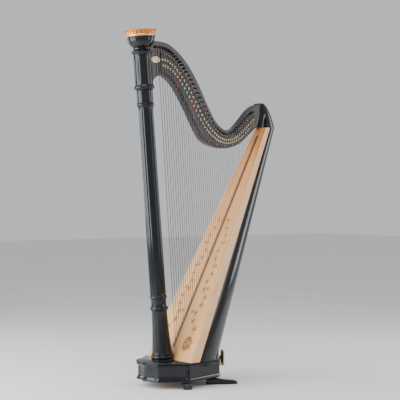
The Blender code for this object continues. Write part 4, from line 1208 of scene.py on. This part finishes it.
def add_string(shape, k):
    """One string: from the board's rib past the bridge pin, then three turns on its tuning pin."""
    radius = string_radius(k)
    foot = string_foot(k)
    spot = string_point(k, TUNING_ROW)
    centre = pin_x(spot)
    wrap = TUNING_PIN_RADIUS + radius
    down = (foot - spot).normalized()
    start = spot + Vector((centre + wrap - spot.x, 0, 0))
    points = [foot + down * 0.004, foot, between(foot, start, 0.5), between(foot, start, 0.97), start]
    for i in range(1, WRAP_STEPS + 1):
        wound = WRAPS * i / WRAP_STEPS
        t = FULL_TURN * wound
        points.append((centre + wrap * math.cos(t), spot.y + 2.1 * radius * wound,
                       spot.z + wrap * math.sin(t)))
    add_tube(shape, points, radius)


def add_eyelet(shape, k):
    """The small metal ring round string k where it enters the board."""
    place = Matrix.Translation(string_foot(k) + Vector((0.0016, 0, -0.001)))
    ring = bead(0, 0.0030, 0.0016, 0.0014, 8)[::-1]
    add_lathe(shape, ring, 16, place @ Matrix.Rotation(-BOARD_SLANT - math.pi / 2, 4, "Y"))


def string_look(k):
    if k < WOUND_STRINGS:
        return {0: "wound_copper", 3: "wound_dark"}.get(k % OCTAVE, "wound")
    return {0: "red_gut", 3: "black_gut"}.get(k % OCTAVE, "gut")


def build_strings():
    octaves = math.ceil(STRINGS / OCTAVE)
    for start in range(0, STRINGS, OCTAVE):
        number = octaves - start // OCTAVE
        groups = {}
        for k in range(start, min(start + OCTAVE, STRINGS)):
            groups.setdefault(string_look(k), []).append(k)
        stands_for = ["strings_octave_" + str(number)]
        for look in sorted(groups, key=lambda key: -len(groups[key])):
            shape = bmesh.new()
            for k in groups[look]:
                add_string(shape, k)
            finished("octave_" + str(number) + "_" + look, shape, look, stands_for, crease=60)
            stands_for = []
    eyelets = bmesh.new()
    for k in range(STRINGS):
        add_eyelet(eyelets, k)
    finished("string_eyelets", eyelets, "brass")


# ---------------------------------------------------------------- pedals

def pedal_tip():
    """A folding tip standing on its hinge: a ribbed plate with a rounded end, and the barrel of the hinge."""
    shape = bmesh.new()
    half = TIP_WIDE / 2
    round_half = half * 0.96
    waist = [(half * 0.78, 0.002), (half * 0.80, 0.012), (round_half, 0.026)]
    outline = waist + [(round_half * math.cos(t), TIP_LONG - half + half * math.sin(t))
                       for t in turns(24, math.pi) + [math.pi]]
    outline += [(-y, z) for y, z in waist[::-1]]
    rows = []
    face = TIP_THICK / 2
    skins = ((0.0010, -face), (0.0, -face + 0.001), (0.0, face - 0.0025), (0.0010, face - 0.0015))
    for inset, depth in skins:
        wide = 1 - inset / half
        long = 1 - inset / TIP_LONG * 2
        rows.append([(depth, y * wide, between(TIP_LONG / 2, z, long)) for y, z in outline])
    add_grid(shape, rows)
    for k in range(TIP_RIBS):
        z = between(0.020, TIP_LONG - 0.012, k / (TIP_RIBS - 1))
        wide = half * (0.70 if k in (0, TIP_RIBS - 1) else 0.80)
        add_tube(shape, [(face - 0.0018, -wide, z), (face - 0.0014, 0, z), (face - 0.0018, wide, z)], 0.0016)
    barrel = [(0, -half), (0.0022, -half), (0.0026, -half + 0.0008), (0.0026, -half + 0.0016),
              (TIP_BARREL - 0.0004, -half + 0.0018), (TIP_BARREL, -half + 0.0024)]
    barrel += [(radius, -z) for radius, z in barrel[::-1]]
    add_lathe(shape, barrel, 24, Matrix.Rotation(math.pi / 2, 4, "X"))
    return shape


def build_pedals():
    for i, note in enumerate(PEDALS):
        node = "pedal_tip_" + note
        low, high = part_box(node)
        centre = (low + high) / 2
        place = Matrix.Translation((centre.x, centre.y, LEVER_Z)) @ Matrix.Rotation(pedal_line(i)[1], 4, "Z")
        finished("pedal_plate_" + note, pedal_tip(), "pedal_brass", [node], node, place, crease=35)


# ---------------------------------------------------------------- carried-over solids

CARRIED = {
    "spruce": ("soundboard",),
    "maple": ("side_rim_left", "side_rim_right"),
    # The string rib's dark brown is partly painted shade for its shaded side
    "dark_wood_and_rib_shade": ("string_rib",),
    "inner_wood": ("inner_rib", "base_bottom_board", "neck_dowel", "rod_guide_lower", "rod_guide_upper"),
    "steel": ("hoop_lower", "hoop_middle", "hoop_upper", "fulcrum_rail"),
    "pedal_brass": tuple("pedal_lever_" + note for note in PEDALS),
}


def finish_carried():
    for look, names in CARRIED.items():
        for name in names:
            set_look(name, look)
    for name in ("side_rim_left", "side_rim_right", "string_rib"):
        round_edges(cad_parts[name], 0.0012, 3)
    for note in PEDALS:
        set_look("pedal_rod_" + note, "steel")
        round_edges(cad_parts["pedal_lever_" + note], 0.0010, 2)


def set_look(name, look):
    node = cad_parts[name]
    node.data.materials.clear()
    node.data.materials.append(LOOKS[look])


# ---------------------------------------------------------------- stage, light and camera

def make_area(name, place, size, power, color=(1, 1, 1)):
    light = bpy.data.lights.new(name, "AREA")
    light.shape = "RECTANGLE"
    light.size, light.size_y = size
    light.energy = power
    light.color = color
    made = bpy.data.objects.new(name, light)
    bpy.context.scene.collection.objects.link(made)
    made.location = place
    made.rotation_euler = (Vector(LIGHT_AIM) - Vector(place)).to_track_quat("-Z", "Y").to_euler()


def build_stage():
    bpy.ops.mesh.primitive_plane_add(size=FLOOR_SIZE)
    floor = bpy.context.object
    floor.name = "floor"
    material, tree, shader, place = blank("pale_floor", {"Roughness": 0.6})
    tone = ramp(tree, noise(tree, place, 0.8), ((0.3, (0.78, 0.78, 0.78)), (0.7, (0.82, 0.82, 0.82))))
    paint(tree, shader, tone)
    floor.data.materials.append(material)

    world = bpy.data.worlds.new("studio")
    world.use_nodes = True
    sky = world.node_tree.nodes["Background"]
    set_inputs(sky, {"Color": (0.95, 0.97, 1.0, 1), "Strength": 0.66})
    bpy.context.scene.world = world

    make_area("softbox_left", (-2.7, 0.80, 1.5), (2.6, 2.4), 150, (0.92, 0.97, 1.0))
    make_area("softbox_right", (2.2, -3.1, 1.7), (1.5, 2.4), 36, (1.0, 0.99, 0.97))
    make_area("strip_right", (3.1, -0.8, 1.5), (0.9, 2.6), 34)
    make_area("strip_behind", (-0.9, 3.2, 1.8), (0.6, 2.4), 20)
    make_area("overhead", (-1.6, -1.2, 5.0), (3.0, 3.0), 110, (1.0, 0.98, 0.95))


def build_camera():
    data = bpy.data.cameras.new("camera")
    data.lens = CAMERA_LENS
    data.sensor_width = 36.0
    camera = bpy.data.objects.new("camera", data)
    bpy.context.scene.collection.objects.link(camera)
    camera.location = (HARP_X + CAMERA_PLACE[0], CAMERA_PLACE[1], CAMERA_PLACE[2])
    camera.rotation_euler = (math.pi / 2, 0, CAMERA_TURN)
    bpy.context.scene.camera = camera


build_soundbox()
build_decoration()
build_base()
build_feet()
build_column()
build_crown()
build_neck()
build_action()
build_strings()
build_pedals()
finish_carried()
build_stage()
build_camera()
